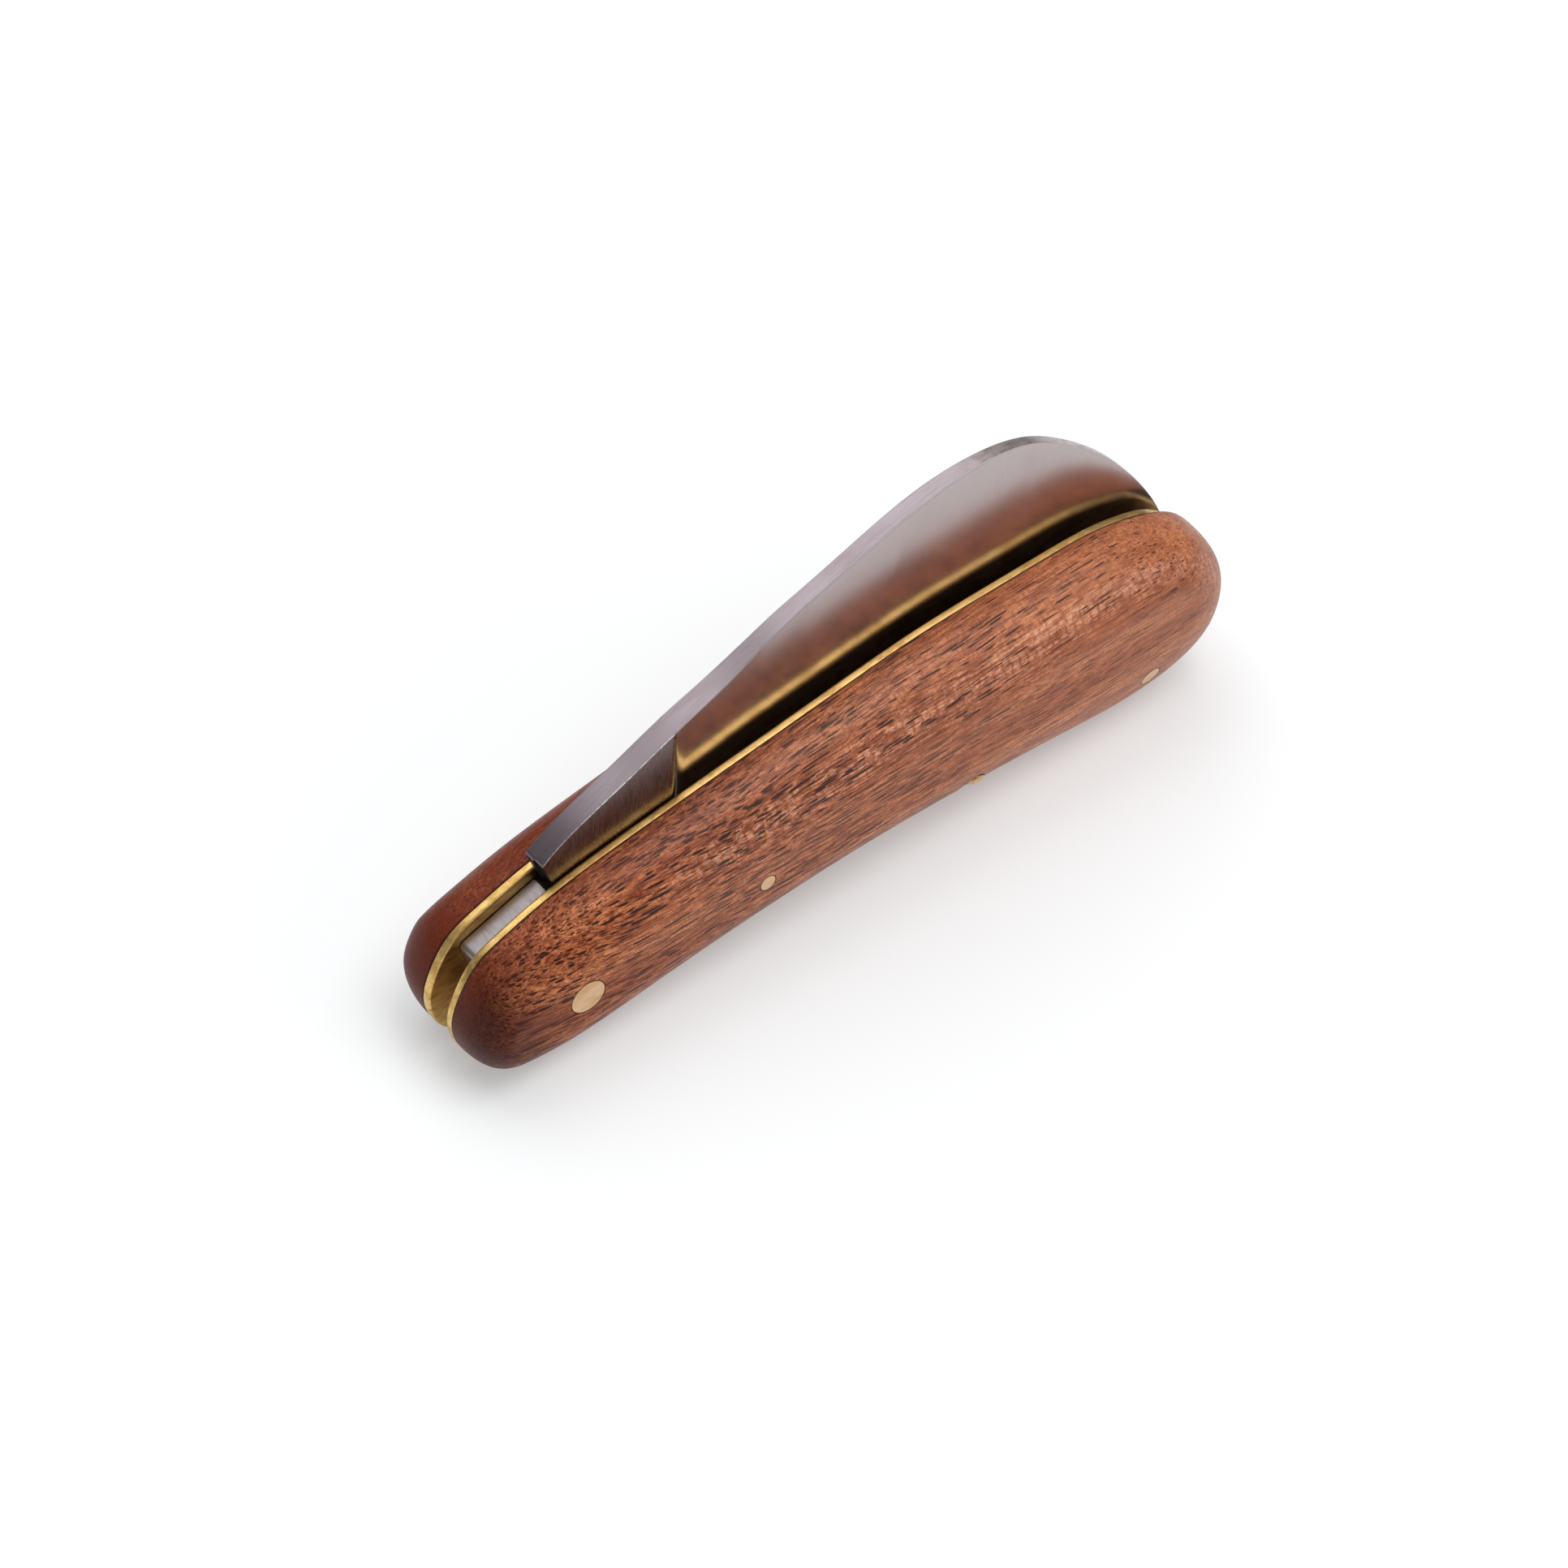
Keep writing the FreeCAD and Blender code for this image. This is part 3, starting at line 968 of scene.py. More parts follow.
@dataclass(frozen=True)
class HandleShape:
    """Side outline of the handle and the rounding of its wooden scales."""

    length: float = 110.0
    height: float = 27.9
    slot_half: float = 1.55
    liner_outer: float = 2.55
    # The wood's rise above the liner, its gain towards the butt, the power of its oval section,
    # the share of the rise at which the side is levelled, and the ridge line.
    thickness: float = 8.33
    gain_to_butt: float = 1.38
    power: float = 2.4
    crown: float = 0.9737
    crown_sharpness: float = 100.0
    ridge: tuple = ((-50.4, 8.6), (43.1, 19.1))
    off_ridge: float = 1.0
    # The far scale's upper corner at the butt: how far it is set back, and the shares it lies past.
    far_relief: float = 0.9
    tip_shares: tuple = (0.93, 0.5)
    # How much closer the mesh's points stand near a place, and within what distance.
    crowd_gain: float = 4.0
    crowd_reach: float = 2.4
    # Points of the outline, clockwise, as shares of the length and the height.
    shares: tuple = (
        (0.000, 0.298), (0.009, 0.452), (0.032, 0.590), (0.067, 0.663), (0.128, 0.741), (0.209, 0.800),
        (0.333, 0.864), (0.479, 0.936), (0.608, 0.990), (0.740, 0.999), (0.830, 0.993), (0.877, 0.958),
        (0.915, 0.905), (0.951, 0.825), (0.987, 0.648), (1.000, 0.439), (0.983, 0.191), (0.928, 0.045),
        (0.851, 0.000), (0.762, 0.036), (0.639, 0.086), (0.490, 0.124), (0.360, 0.107), (0.231, 0.053),
        (0.119, 0.000), (0.055, 0.035), (0.017, 0.116),
    )

    def curve(self, relief: float = 0.0) -> SmoothCurve:
        """The outline as a closed curve.

        Args:
            relief: How far the upper end of the butt is set back.

        Returns:
            The curve.
        """
        points = (np.array(self.shares) - (0.5, 0.0)) * (self.length, self.height)
        tip = (np.array(self.shares) > self.tip_shares).all(axis=1)
        return SmoothCurve(points + inward(points) * (tip * relief)[:, None], True)

    def tip_relief(self, side: Side) -> float:
        """How far the wood of a side is set back at the upper end of the butt."""
        return self.far_relief if side is Side.REAR else 0.0

    def outline(self, count: int, crowd_x: float | None = None, relief: float = 0.0) -> np.ndarray:
        """Points of the outline, clockwise from the front end.

        Args:
            count: Number of points, an even number.
            crowd_x: X on the back near which the points stand closer, or None.
            relief: How far the upper end of the butt is set back.

        Returns:
            One row of X and Z for each point.
        """
        fine = self.curve(relief).spaced(np.linspace(0, 1, CURVE_STEPS + 1))[:-1]
        density = np.ones(len(fine))
        if crowd_x is not None:
            low = fine[:, 1] < self.height / 2
            away = (fine[:, 0] - crowd_x) / self.crowd_reach
            density += self.crowd_gain * low * np.exp(-(away**4))
        run = np.cumsum(density)
        shares = (np.arange(count) + 0.5) / count
        return fine[np.searchsorted(run / run[-1], shares)]

    def core(self, points: np.ndarray) -> np.ndarray:
        """Nearest points of the ridge line.

        Args:
            points: X and Z of places.

        Returns:
            X and Z of the nearest point to each.
        """
        start, end = np.array(self.ridge)
        run = end - start
        share = np.clip((points - start) @ run / (run @ run), 0, 1)
        return start + share[..., None] * run

    def stand(self, x: np.ndarray) -> np.ndarray:
        """How far the wood stands out from the liner at its fullest."""
        return self.thickness + self.gain_to_butt * x / (self.length / 2)

    def crowned(self, rise: np.ndarray) -> np.ndarray:
        """Rise of the oval, levelled off at the crown: a soft minimum by logarithms and powers of e."""
        sharp = self.crown_sharpness
        return -np.log(np.exp(-rise * sharp) + math.exp(-self.crown * sharp)) / sharp

    def side_depth(self, x: np.ndarray, z: np.ndarray) -> np.ndarray:
        """Distance of the wood's surface from the middle plane.

        Each point is a share k of the way from the ridge line out to the outline, and the
        surface there stands out by the share (1 - k to the power) to one over the power,
        levelled off at the crown.

        Args:
            x: Places along the handle.
            z: Heights.

        Returns:
            The distance at each place.
        """
        start, end = np.array(self.ridge)
        run = (end - start) / np.linalg.norm(end - start)
        square = np.array([-run[1], run[0]])
        points = np.stack([x, z], axis=-1)
        across = (points - self.core(points)) @ square
        place = (points - start) @ run
        below, above = (self.reach(start, run, sign * square, place) for sign in (-1, 1))
        k = np.clip(np.abs(across) / np.where(across < 0, below, above), 0, 1)
        return self.liner_outer + self.stand(x) * self.crowned((1 - k**self.power) ** (1 / self.power))

    def reach(self, start: np.ndarray, run: np.ndarray, square: np.ndarray, place: np.ndarray) -> np.ndarray:
        """Distance from the ridge line out to the outline.

        Args:
            start: Start of the ridge line.
            run: Direction of the line.
            square: Direction square to it, towards the side that is measured.
            place: Places along the line.

        Returns:
            The distance at each place.
        """
        fine = self.curve().spaced(np.linspace(0, 1, OUTLINE_STEPS + 1))[:-1]
        out = (fine - start) @ square
        along = (fine - start) @ run
        keep = out > self.off_ridge
        order = np.argsort(along[keep])
        return np.interp(place, along[keep][order], out[keep][order])


@dataclass(frozen=True)
class Notch:
    """Round notch in the wood beside a rivet's head, its floor at a distance from the middle plane."""

    x: float
    z: float
    floor: float
    radius: float = 1.65
    wall: float = 0.1
    # From the rivet to the notch, and from the wood at the rivet down to the floor.
    shift: float = 0.75
    depth: float = 2.2

    @classmethod
    def beside(cls, x: float, z: float, shape: HandleShape) -> "Notch":
        """Notch shifted from a rivet towards the pivot end, its floor a depth below the wood there."""
        surface = float(shape.side_depth(np.array([x]), np.array([z]))[0])
        return cls(x - cls.shift, z, surface - cls.depth)

    def sink(self, points: np.ndarray) -> np.ndarray:
        """Points with those inside the notch pushed in to its floor.

        Args:
            points: X, Y and Z of the front scale's surface.

        Returns:
            The points, with Y raised to the floor where they lie within the radius.
        """
        away = np.hypot(points[..., 0] - self.x, points[..., 2] - self.z)
        share = np.clip((self.radius + self.wall / 2 - away) / self.wall, 0, 1)
        share = share * share * (3 - 2 * share)
        sunk = points.copy()
        sunk[..., 1] += share * np.maximum(-self.floor - points[..., 1], 0)
        return sunk


@dataclass
class WoodScale:
    """One wooden scale, rounded over from the liner to its side."""

    shape: HandleShape
    side: Side
    notch: Notch
    columns: int = 760
    rows: int = 72
    arris: float = 0.13
    arris_rows: int = 5
    # Rows of the liner face, and the last row of the side, as shares from the ridge line out.
    face_shares: tuple = (0.03, 0.5, 0.96)
    centre_share: float = 0.03
    # Usual distance from the ridge to the outline, and where the rows stand closer.
    usual_reach: float = 13.0
    crowd_shrink: float = 0.78
    crowd_reach: float = 0.14
    crowd_gain: float = 3.0

    def section(self) -> tuple:
        """Shares of the rounded oval, closer together about the notch.

        The oval has the shrink k = sine to 2 over the power, and the rise = cosine to 2 over the
        power, of an angle. The angles are spaced by the length of the oval.

        Returns:
            Shrink and rise of each row, from the liner to the side.
        """
        angle = np.linspace(math.pi / 2, 0.0, OUTLINE_STEPS + 1)
        power = 2 / self.shape.power
        shrink, rise = np.sin(angle) ** power, np.cos(angle) ** power
        length = np.hypot(np.diff(shrink) * self.usual_reach, np.diff(rise) * self.shape.thickness)
        away = ((shrink[1:] + shrink[:-1]) / 2 - self.crowd_shrink) / self.crowd_reach
        length *= 1 + self.crowd_gain * np.exp(-(away**4))
        run = np.concatenate([[0.0], np.cumsum(length)])
        start = np.interp(self.arris / self.shape.thickness, rise, run)
        places = np.linspace(start, np.interp(-self.centre_share, -shrink, run), self.rows)
        return np.interp(places, run, shrink), self.shape.crowned(np.interp(places, run, rise))

    def rings(self) -> np.ndarray:
        """Rings of the front scale, from the middle of its liner face over the side.

        Returns:
            Rows of rings in millimetres.
        """
        rim = self.shape.outline(self.columns, self.notch.x, self.shape.tip_relief(self.side))
        core = self.shape.core(rim)
        inwards = inward(rim)
        base = self.shape.liner_outer
        rows = []
        inner = rim + inwards * self.arris
        for share in self.face_shares:
            flat = core + (inner - core) * share
            rows.append(np.stack([flat[:, 0], np.full(len(rim), -base), flat[:, 1]], axis=1))
        for turn in np.linspace(0, math.pi / 2, self.arris_rows)[:-1]:
            edge = rim + inwards * self.arris * (1 - math.sin(turn))
            depth = base + self.arris * (1 - math.cos(turn))
            rows.append(np.stack([edge[:, 0], np.full(len(rim), -depth), edge[:, 1]], axis=1))
        for shrink, rise in zip(*self.section()):
            moved = core + (rim - core) * shrink
            depth = base + self.shape.stand(moved[:, 0]) * rise
            rows.append(np.stack([moved[:, 0], -depth, moved[:, 1]], axis=1))
        return self.notch.sink(np.array(rows))

    def build(self, wood: bpy.types.Material) -> bpy.types.Object:
        """Make the scale and fit it.

        Args:
            wood: Material of the scale.

        Returns:
            The scale.
        """
        rings = self.rings() * (1, -self.side.value, 1)
        name = f"{self.side.name.lower()}_scale"
        return fit(make_piece(f"wood_{name}", rings, [wood]), name, "handle")


@dataclass
class Liner:
    """One brass liner, rounded along the slot and square along the back."""

    shape: HandleShape
    side: Side
    columns: int = 700
    # Rounding along the slot and along the back, and the shares of the height between them.
    slot_round: float = 0.35
    square_round: float = 0.06
    round_from: float = 0.12
    round_over: float = 0.16
    shoulder: float = 0.06
    tip_relief: float = 0.65
    face_shares: tuple = (0.03, 0.5, 0.97, 0.992)
    outer_rows: int = 4
    inner_rows: int = 7

    def rings(self) -> np.ndarray:
        """Rings of the front liner, from its outer face over its edge to its inner face.

        The inner edge's rounding grows from the back's to the slot's with the height, from a share
        of the handle's height and over another share.

        Returns:
            Rows of rings in millimetres.
        """
        rim = self.shape.outline(self.columns, relief=self.tip_relief + self.shape.tip_relief(self.side))
        core = self.shape.core(rim)
        inwards = inward(rim)
        up = np.clip((rim[:, 1] / self.shape.height - self.round_from) / self.round_over, 0, 1)
        inner_round = self.square_round + (self.slot_round - self.square_round) * up
        rows = []
        near = self.shape.liner_outer - GAP
        far = self.shape.slot_half
        for share in self.face_shares:
            rows.append(self.ring(core + (rim - core) * share, near))
        for turn in np.linspace(0, math.pi / 2, self.outer_rows):
            inset = self.square_round * (1 - math.sin(turn))
            rows.append(self.ring(rim + inwards * inset, near - self.square_round * (1 - math.cos(turn))))
        rows.append(self.ring(rim, far + inner_round + self.shoulder))
        for turn in np.linspace(0, math.pi / 2, self.inner_rows):
            inset = (inner_round * (1 - math.cos(turn)))[:, None]
            rows.append(self.ring(rim + inwards * inset, far + inner_round * (1 - math.sin(turn))))
        last = rim + inwards * inner_round[:, None]
        for share in reversed(self.face_shares):
            rows.append(self.ring(core + (last - core) * share, far))
        return np.array(rows)

    @staticmethod
    def ring(flat: np.ndarray, depth: object) -> np.ndarray:
        """Ring of the front side at a depth."""
        return np.stack([flat[:, 0], -np.broadcast_to(depth, len(flat)), flat[:, 1]], axis=1)

    def build(self, brass: bpy.types.Material) -> bpy.types.Object:
        """Make the liner and fit it.

        Args:
            brass: Material of the liner.

        Returns:
            The liner.
        """
        rings = self.rings() * (1, -self.side.value, 1)
        name = f"{self.side.name.lower()}_liner"
        return fit(make_piece(f"brass_{name}", rings, [brass]), name, "handle")


@dataclass(frozen=True)
class Rivet:
    """Brass rivet through the handle, its heads dressed to the wood."""

    node: str
    x: float
    z: float
    diameter: float
    proud: float = 0.012
    dome: float = 8.0
    points: int = 72
    head_shares: tuple = (0.03, 0.25, 0.5, 0.75, 0.9, 0.96, 0.99, 1.0)

    def rings(self, shape: HandleShape) -> np.ndarray:
        """Rings from the middle of the front head, along the rivet, to the middle of the rear head.

        The head's depth at each place is the wood's own, plus the proud height times one less
        the share of the radius to the power of the dome.

        Args:
            shape: The handle that the rivet goes through.

        Returns:
            Rows of rings in millimetres.
        """
        turn = math.pi - 2 * math.pi * (np.arange(self.points) + 0.5) / self.points
        radius = self.diameter / 2
        rows = []
        for share in self.head_shares:
            x = self.x + radius * share * np.cos(turn)
            z = self.z + radius * share * np.sin(turn)
            depth = shape.side_depth(x, z)
            rows.append(np.stack([x, -(depth + self.proud * (1 - share**self.dome)), z], axis=1))
        half = np.array(rows)
        return np.concatenate([half, (half * (1, -1, 1))[::-1]])

    def build(self, shape: HandleShape, brass: bpy.types.Material) -> bpy.types.Object:
        """Make the rivet and fit it."""
        piece = make_piece(f"rivet_{self.node}", self.rings(shape), [brass])
        return fit(piece, self.node, "handle")


# ---------------------------------------------------------------------------------------------
# Steel
# ---------------------------------------------------------------------------------------------


@dataclass(frozen=True)
class Plate:
    """Plate whose outline runs out along its top and back along its bottom.

    Each point's partner across the plate is the one that faces it. From the rim inwards each side
    has a level strip, and from there it falls or rises evenly to the middle thickness.
    """

    near: np.ndarray
    far: np.ndarray
    half: np.ndarray
    middle_half: np.ndarray
    arris: np.ndarray
    strip: np.ndarray
    cuts: tuple = (-0.7, -0.35, -0.02, 0.02, 0.35, 0.7)
    arris_rows: int = 4
    # Rows near the rim, in millimetres, their limits and the rows from there to the middle, as shares.
    first_row: float = 0.05
    narrowest_strip: float = 0.15
    crease: float = 0.025
    row_limits: tuple = (0.15, 0.3, 0.45)
    inner_shares: tuple = (0.12, 0.24, 0.38, 0.52, 0.66, 0.8, 0.91, 0.99)
    least: float = 1e-6

    @property
    def face_bands(self) -> int:
        """Number of bands of a side face, from its middle to its rim."""
        return len(self.row_limits) + len(self.inner_shares)

    def side(self, outline: np.ndarray) -> tuple:
        """Rings of one side face.

        Two rows stand a crease's width to either side of the strip's foot. Where the plate is
        narrow, shares of its half width limit the rows near the rim.

        Args:
            outline: Outline on that side.

        Returns:
            Places, half thicknesses and distances from the rim, each from the middle outwards.
        """
        inset = outline + inward(outline) * self.arris[:, None]
        middle = (inset + inset[::-1]) / 2
        reach = np.maximum(np.linalg.norm(inset - middle, axis=1), self.least)
        strip = np.maximum(self.strip, self.narrowest_strip)
        wanted = (self.first_row, strip - self.crease, strip + self.crease)
        close = [np.minimum(width, reach * limit) for width, limit in zip(wanted, self.row_limits)]
        inner = [close[-1] + (reach - close[-1]) * share for share in self.inner_shares]
        away = np.array([np.zeros(len(reach)), *close, *inner][::-1])
        k = np.clip((away - self.strip) / np.maximum(reach - self.strip, self.least), 0, 1)
        flat = inset + (middle - inset) * (away / reach)[..., None]
        return flat, self.half + (self.middle_half - self.half) * k, away + self.arris

    def rings(self) -> tuple:
        """Rings from the middle of the front face over the rim to the middle of the rear face.

        Returns:
            Rows of rings in millimetres, and the distance of each of their points from the rim.
        """
        rows, gaps = [], []
        turns = np.linspace(0, math.pi / 2, self.arris_rows + 1)[1:]
        for sign, outline in ((-1, self.near), (1, self.far)):
            flat, depth, away = self.side(outline)
            half = np.dstack([flat[..., 0], sign * depth, flat[..., 1]])
            inwards = inward(outline)
            edge = [outline + inwards * (self.arris * (1 - math.sin(turn)))[:, None] for turn in turns]
            drop = [sign * (self.half - self.arris * (1 - math.cos(turn))) for turn in turns]
            arcs = np.array([np.stack([e[:, 0], d, e[:, 1]], axis=1) for e, d in zip(edge, drop)])
            block = np.concatenate([half, arcs])
            gap = np.concatenate([away, np.zeros(arcs.shape[:2])])
            rows.append(block if sign < 0 else block[::-1])
            gaps.append(gap if sign < 0 else gap[::-1])
        rim = []
        for cut in self.cuts:
            side = self.near if cut < 0 else self.far
            rim.append(np.stack([side[:, 0], cut * (self.half - self.arris), side[:, 1]], axis=1))
        rings = np.concatenate([rows[0], np.array(rim), rows[1]])
        return rings, np.concatenate([gaps[0], np.zeros((len(rim), len(self.half))), gaps[1]])


@dataclass
class BladeShape:
    """Blade in its closed place: tang, heel, unground part and hooked ground part."""

    shape: HandleShape
    pivot: tuple
    # Tang, heel and choil, measured from the pivot along the tilted tang and square to it.
    tang_depth: float = 7.9
    front_reach: float = 6.9
    back_reach: float = 4.7
    corner: float = 0.8
    lower_corner: float = 2.4
    tilt: float = 19.4
    heel_step: float = 5.2
    heel_notch: float = 0.18
    choil_bow: float = 1.6
    # Half thicknesses, and the plunge from the unground part to the ground part.
    stock_half: float = 1.45
    edge_half: float = 0.08
    plunge_length: float = 1.9
    plunge_point: int = 4
    plunge_power: float = 1.6
    # Rounding of the arrises, at most a share of the half thickness.
    arris: float = 0.05
    worn_arris: float = 0.1
    most_arris: float = 0.4
    # Columns of the mesh: the tang's front and flat, heel, unground part, plunge and ground part.
    columns: tuple = (12, 30, 14, 36, 17, 170)
    corner_columns: int = 16
    choil_steps: int = 48
    front_gap: float = 0.1
    # Level strip beside the spine: its width, and the shares of it along the ground part.
    least_strip: float = 0.05
    no_strip: float = 9.0
    strip_width: float = 0.36
    strip_shares: tuple = ((0.0, 0.0), (0.2, 0.0), (0.26, 0.8), (0.36, 1.0), (0.46, 1.0), (0.54, 0.4), (0.68, 0.0))
    # Points of the spine and the edge, as shares of the handle's length and height.
    spine_shares: tuple = (
        (0.141, 0.925), (0.171, 0.989), (0.229, 1.087), (0.292, 1.198), (0.360, 1.305), (0.424, 1.423),
        (0.493, 1.521), (0.561, 1.617), (0.621, 1.681), (0.666, 1.699), (0.709, 1.689), (0.755, 1.637),
        (0.801, 1.523), (0.856, 1.330), (0.905, 1.096), (0.940, 0.880), (0.962, 0.690), (0.968, 0.560),
    )
    edge_shares: tuple = (
        (0.289, 0.600), (0.360, 0.655), (0.450, 0.705), (0.540, 0.730), (0.630, 0.742), (0.720, 0.735),
        (0.800, 0.705), (0.870, 0.650), (0.930, 0.580), (0.963, 0.525),
    )
    # Thickness at the spine along the ground part, as shares of the stock.
    taper: tuple = (
        (0.00, 1.00), (0.09, 0.90), (0.14, 0.80), (0.22, 0.73), (0.38, 0.71), (0.47, 0.61), (0.60, 0.46),
        (0.75, 0.38), (1.00, 0.22),
    )

    def side_points(self, shares: tuple) -> np.ndarray:
        """Points of the side view from shares of the handle's length and height."""
        return (np.array(shares) - (0.5, 0.0)) * (self.shape.length, self.shape.height)

    def corners(self) -> dict:
        """Corners of the tang and the heel, by name.

        Returns:
            X and Z of each corner, and the direction of the tang's flat.
        """
        tilt = math.radians(self.tilt)
        along = np.array([math.cos(tilt), math.sin(tilt)])
        out = np.array([-math.sin(tilt), math.cos(tilt)])
        pivot = np.array(self.pivot)
        foot = pivot + along * self.back_reach + out * self.tang_depth
        return {
            "foot": foot,
            "top": foot + out * self.heel_step,
            "front_top": pivot - along * self.front_reach + out * self.tang_depth,
            "front_low": pivot - np.array([self.front_reach - self.corner, self.tang_depth]),
            "choil": pivot + np.array([self.back_reach, -self.tang_depth]),
            "along": along,
        }

    def sides(self) -> tuple:
        """Upper and lower side of the blade, stretch by stretch, with as many points below as above.

        Returns:
            Stretches of the upper side, stretches of the lower side, the ground columns' shares of
            the way to the point, and the plunge's share of it.
        """
        c = self.corners()
        front = (c["front_top"] + c["front_low"]) / 2
        up = np.array([0.0, self.front_gap])
        edge = SmoothCurve(self.side_points(self.edge_shares))
        spine = SmoothCurve(np.vstack([c["top"], self.side_points(self.spine_shares)]))
        plunge = spine.knots()[self.plunge_point]
        front_n, flat_n, heel_n, unground_n, plunge_n, ground_n = self.columns
        steps = np.diff(spine.spaced(np.linspace(0, 1, ROUGH_STEPS), plunge), axis=0)
        ramp = self.plunge_length / np.linalg.norm(steps, axis=1).sum()
        steep = ramp * np.linspace(0, 1, plunge_n)[1:] ** self.plunge_power
        shares = np.concatenate([steep, ramp + (1 - ramp) * np.linspace(0, 1, ground_n)[1:]])
        top_arc = arc(c["foot"], c["front_top"], c["front_low"], self.corner, self.corner_columns)[::-1]
        low_arc = arc(c["front_top"], c["front_low"], c["choil"], self.lower_corner, self.corner_columns)
        choil = self.choil(c["choil"], edge.points[0])
        rest = np.linspace(heel_n - 1, len(choil) - 1, unground_n).round().astype(int)
        tops = [
            np.vstack([line(front + up, top_arc[0], front_n)[:-1], top_arc]),
            line(top_arc[-1], c["foot"], flat_n)[1:],
            line(c["foot"], c["top"], heel_n)[1:],
            spine.spaced(np.linspace(0, 1, unground_n)[1:], 0.0, plunge),
            spine.spaced(shares, plunge),
        ]
        lows = [
            np.vstack([line(front - up, low_arc[0], front_n)[:-1], low_arc]),
            line(low_arc[-1], c["choil"], flat_n)[1:],
            choil[1:heel_n],
            choil[rest[1:]],
            edge.spaced(shares),
        ]
        return tops, lows, shares, ramp

    def plate(self) -> tuple:
        """Blade as a plate, with the region of each column.

        The spine's thickness follows the taper. The lower side's falls from the stock's to the
        edge's along the plunge, by a quarter of a circle.

        Returns:
            The plate, the region numbers of its columns, and the number of columns along its top.
        """
        tops, lows, shares, ramp = self.sides()
        region = np.concatenate([np.full(len(t), i) for i, t in enumerate(tops)])
        top, bottom = np.vstack(tops), np.vstack(lows)
        ground = region == Region.GROUND.value
        share = np.concatenate([np.zeros((~ground).sum()), shares])
        top_half = self.stock_half * np.interp(share, *np.array(self.taper).T)
        left = np.clip(1 - share / ramp, 0, 1)
        low_half = self.stock_half - (self.stock_half - self.edge_half) * np.sqrt(1 - left * left)
        low_half[~ground] = self.stock_half
        half = np.concatenate([top_half, low_half[::-1]])
        middle = (top_half + low_half) / 2
        far = np.vstack([top, bottom[::-1]])
        near = far.copy()
        count = len(top)
        notched = region == Region.HEEL.value
        notched[np.flatnonzero(region == Region.TANG_FLAT.value)[-1]] = True
        near[:count][notched] += self.corners()["along"] * self.heel_notch
        region = np.concatenate([region, region[::-1]])
        worn = (region == Region.RICASSO.value) & (np.arange(2 * count) < count)
        arris = np.minimum(np.where(worn, self.worn_arris, self.arris), self.most_arris * half)
        strip = self.strip_width * np.interp(share, *np.array(self.strip_shares).T)
        strip = np.concatenate([strip, np.zeros(count)])
        return Plate(near, far, half, np.concatenate([middle, middle[::-1]]), arris, strip), region, count

    def choil(self, start: np.ndarray, end: np.ndarray) -> np.ndarray:
        """Lower side from the tang to the edge: a quadratic curve that bows out square to its chord.

        Args:
            start: End of the tang's lower side.
            end: Start of the edge.

        Returns:
            The points, in order.
        """
        chord = end - start
        bow = np.array([-chord[1], chord[0]]) / np.linalg.norm(chord) * self.choil_bow
        s = np.linspace(0, 1, self.choil_steps)[:, None]
        return (1 - s) ** 2 * start + 2 * s * (1 - s) * (start + chord / 2 + 2 * bow) + s**2 * end

    def build(self, finishes: list) -> bpy.types.Object:
        """Make the blade and fit it.

        Args:
            finishes: Materials in the order of Dress.

        Returns:
            The blade.
        """
        plate, region, count = self.plate()
        rings, gap = plate.rings()
        region[: count - 1] = region[1:count]
        ground = region == Region.GROUND.value
        face = np.where(ground, Dress.GROUND.value, Dress.FLAT.value)
        heel = np.where(region == Region.HEEL.value, Dress.HEEL.value, Dress.SPINE.value)
        rim = np.where(region <= Region.TANG_FLAT.value, Dress.TANG.value, heel)
        rim[count:] = face[count:]
        index = np.tile(face, (rings.shape[0] - 1, 1))
        index[plate.face_bands : -plate.face_bands] = rim
        strip = np.where(plate.strip > self.least_strip, gap / np.maximum(plate.strip, self.least_strip), self.no_strip)
        # Worn edge of the spine, where the spine's finish lays a painted highlight.
        worn = np.zeros(rings.shape[:2])
        edge = (rim == Dress.SPINE.value) & ~ground
        edge[count - 1 :] = False
        worn[plate.face_bands : plate.face_bands + plate.arris_rows] = edge
        piece = make_piece("steel_blade", rings, finishes, index, {"strip": strip, "worn": worn})
        return fit(piece, "blade", "blade")


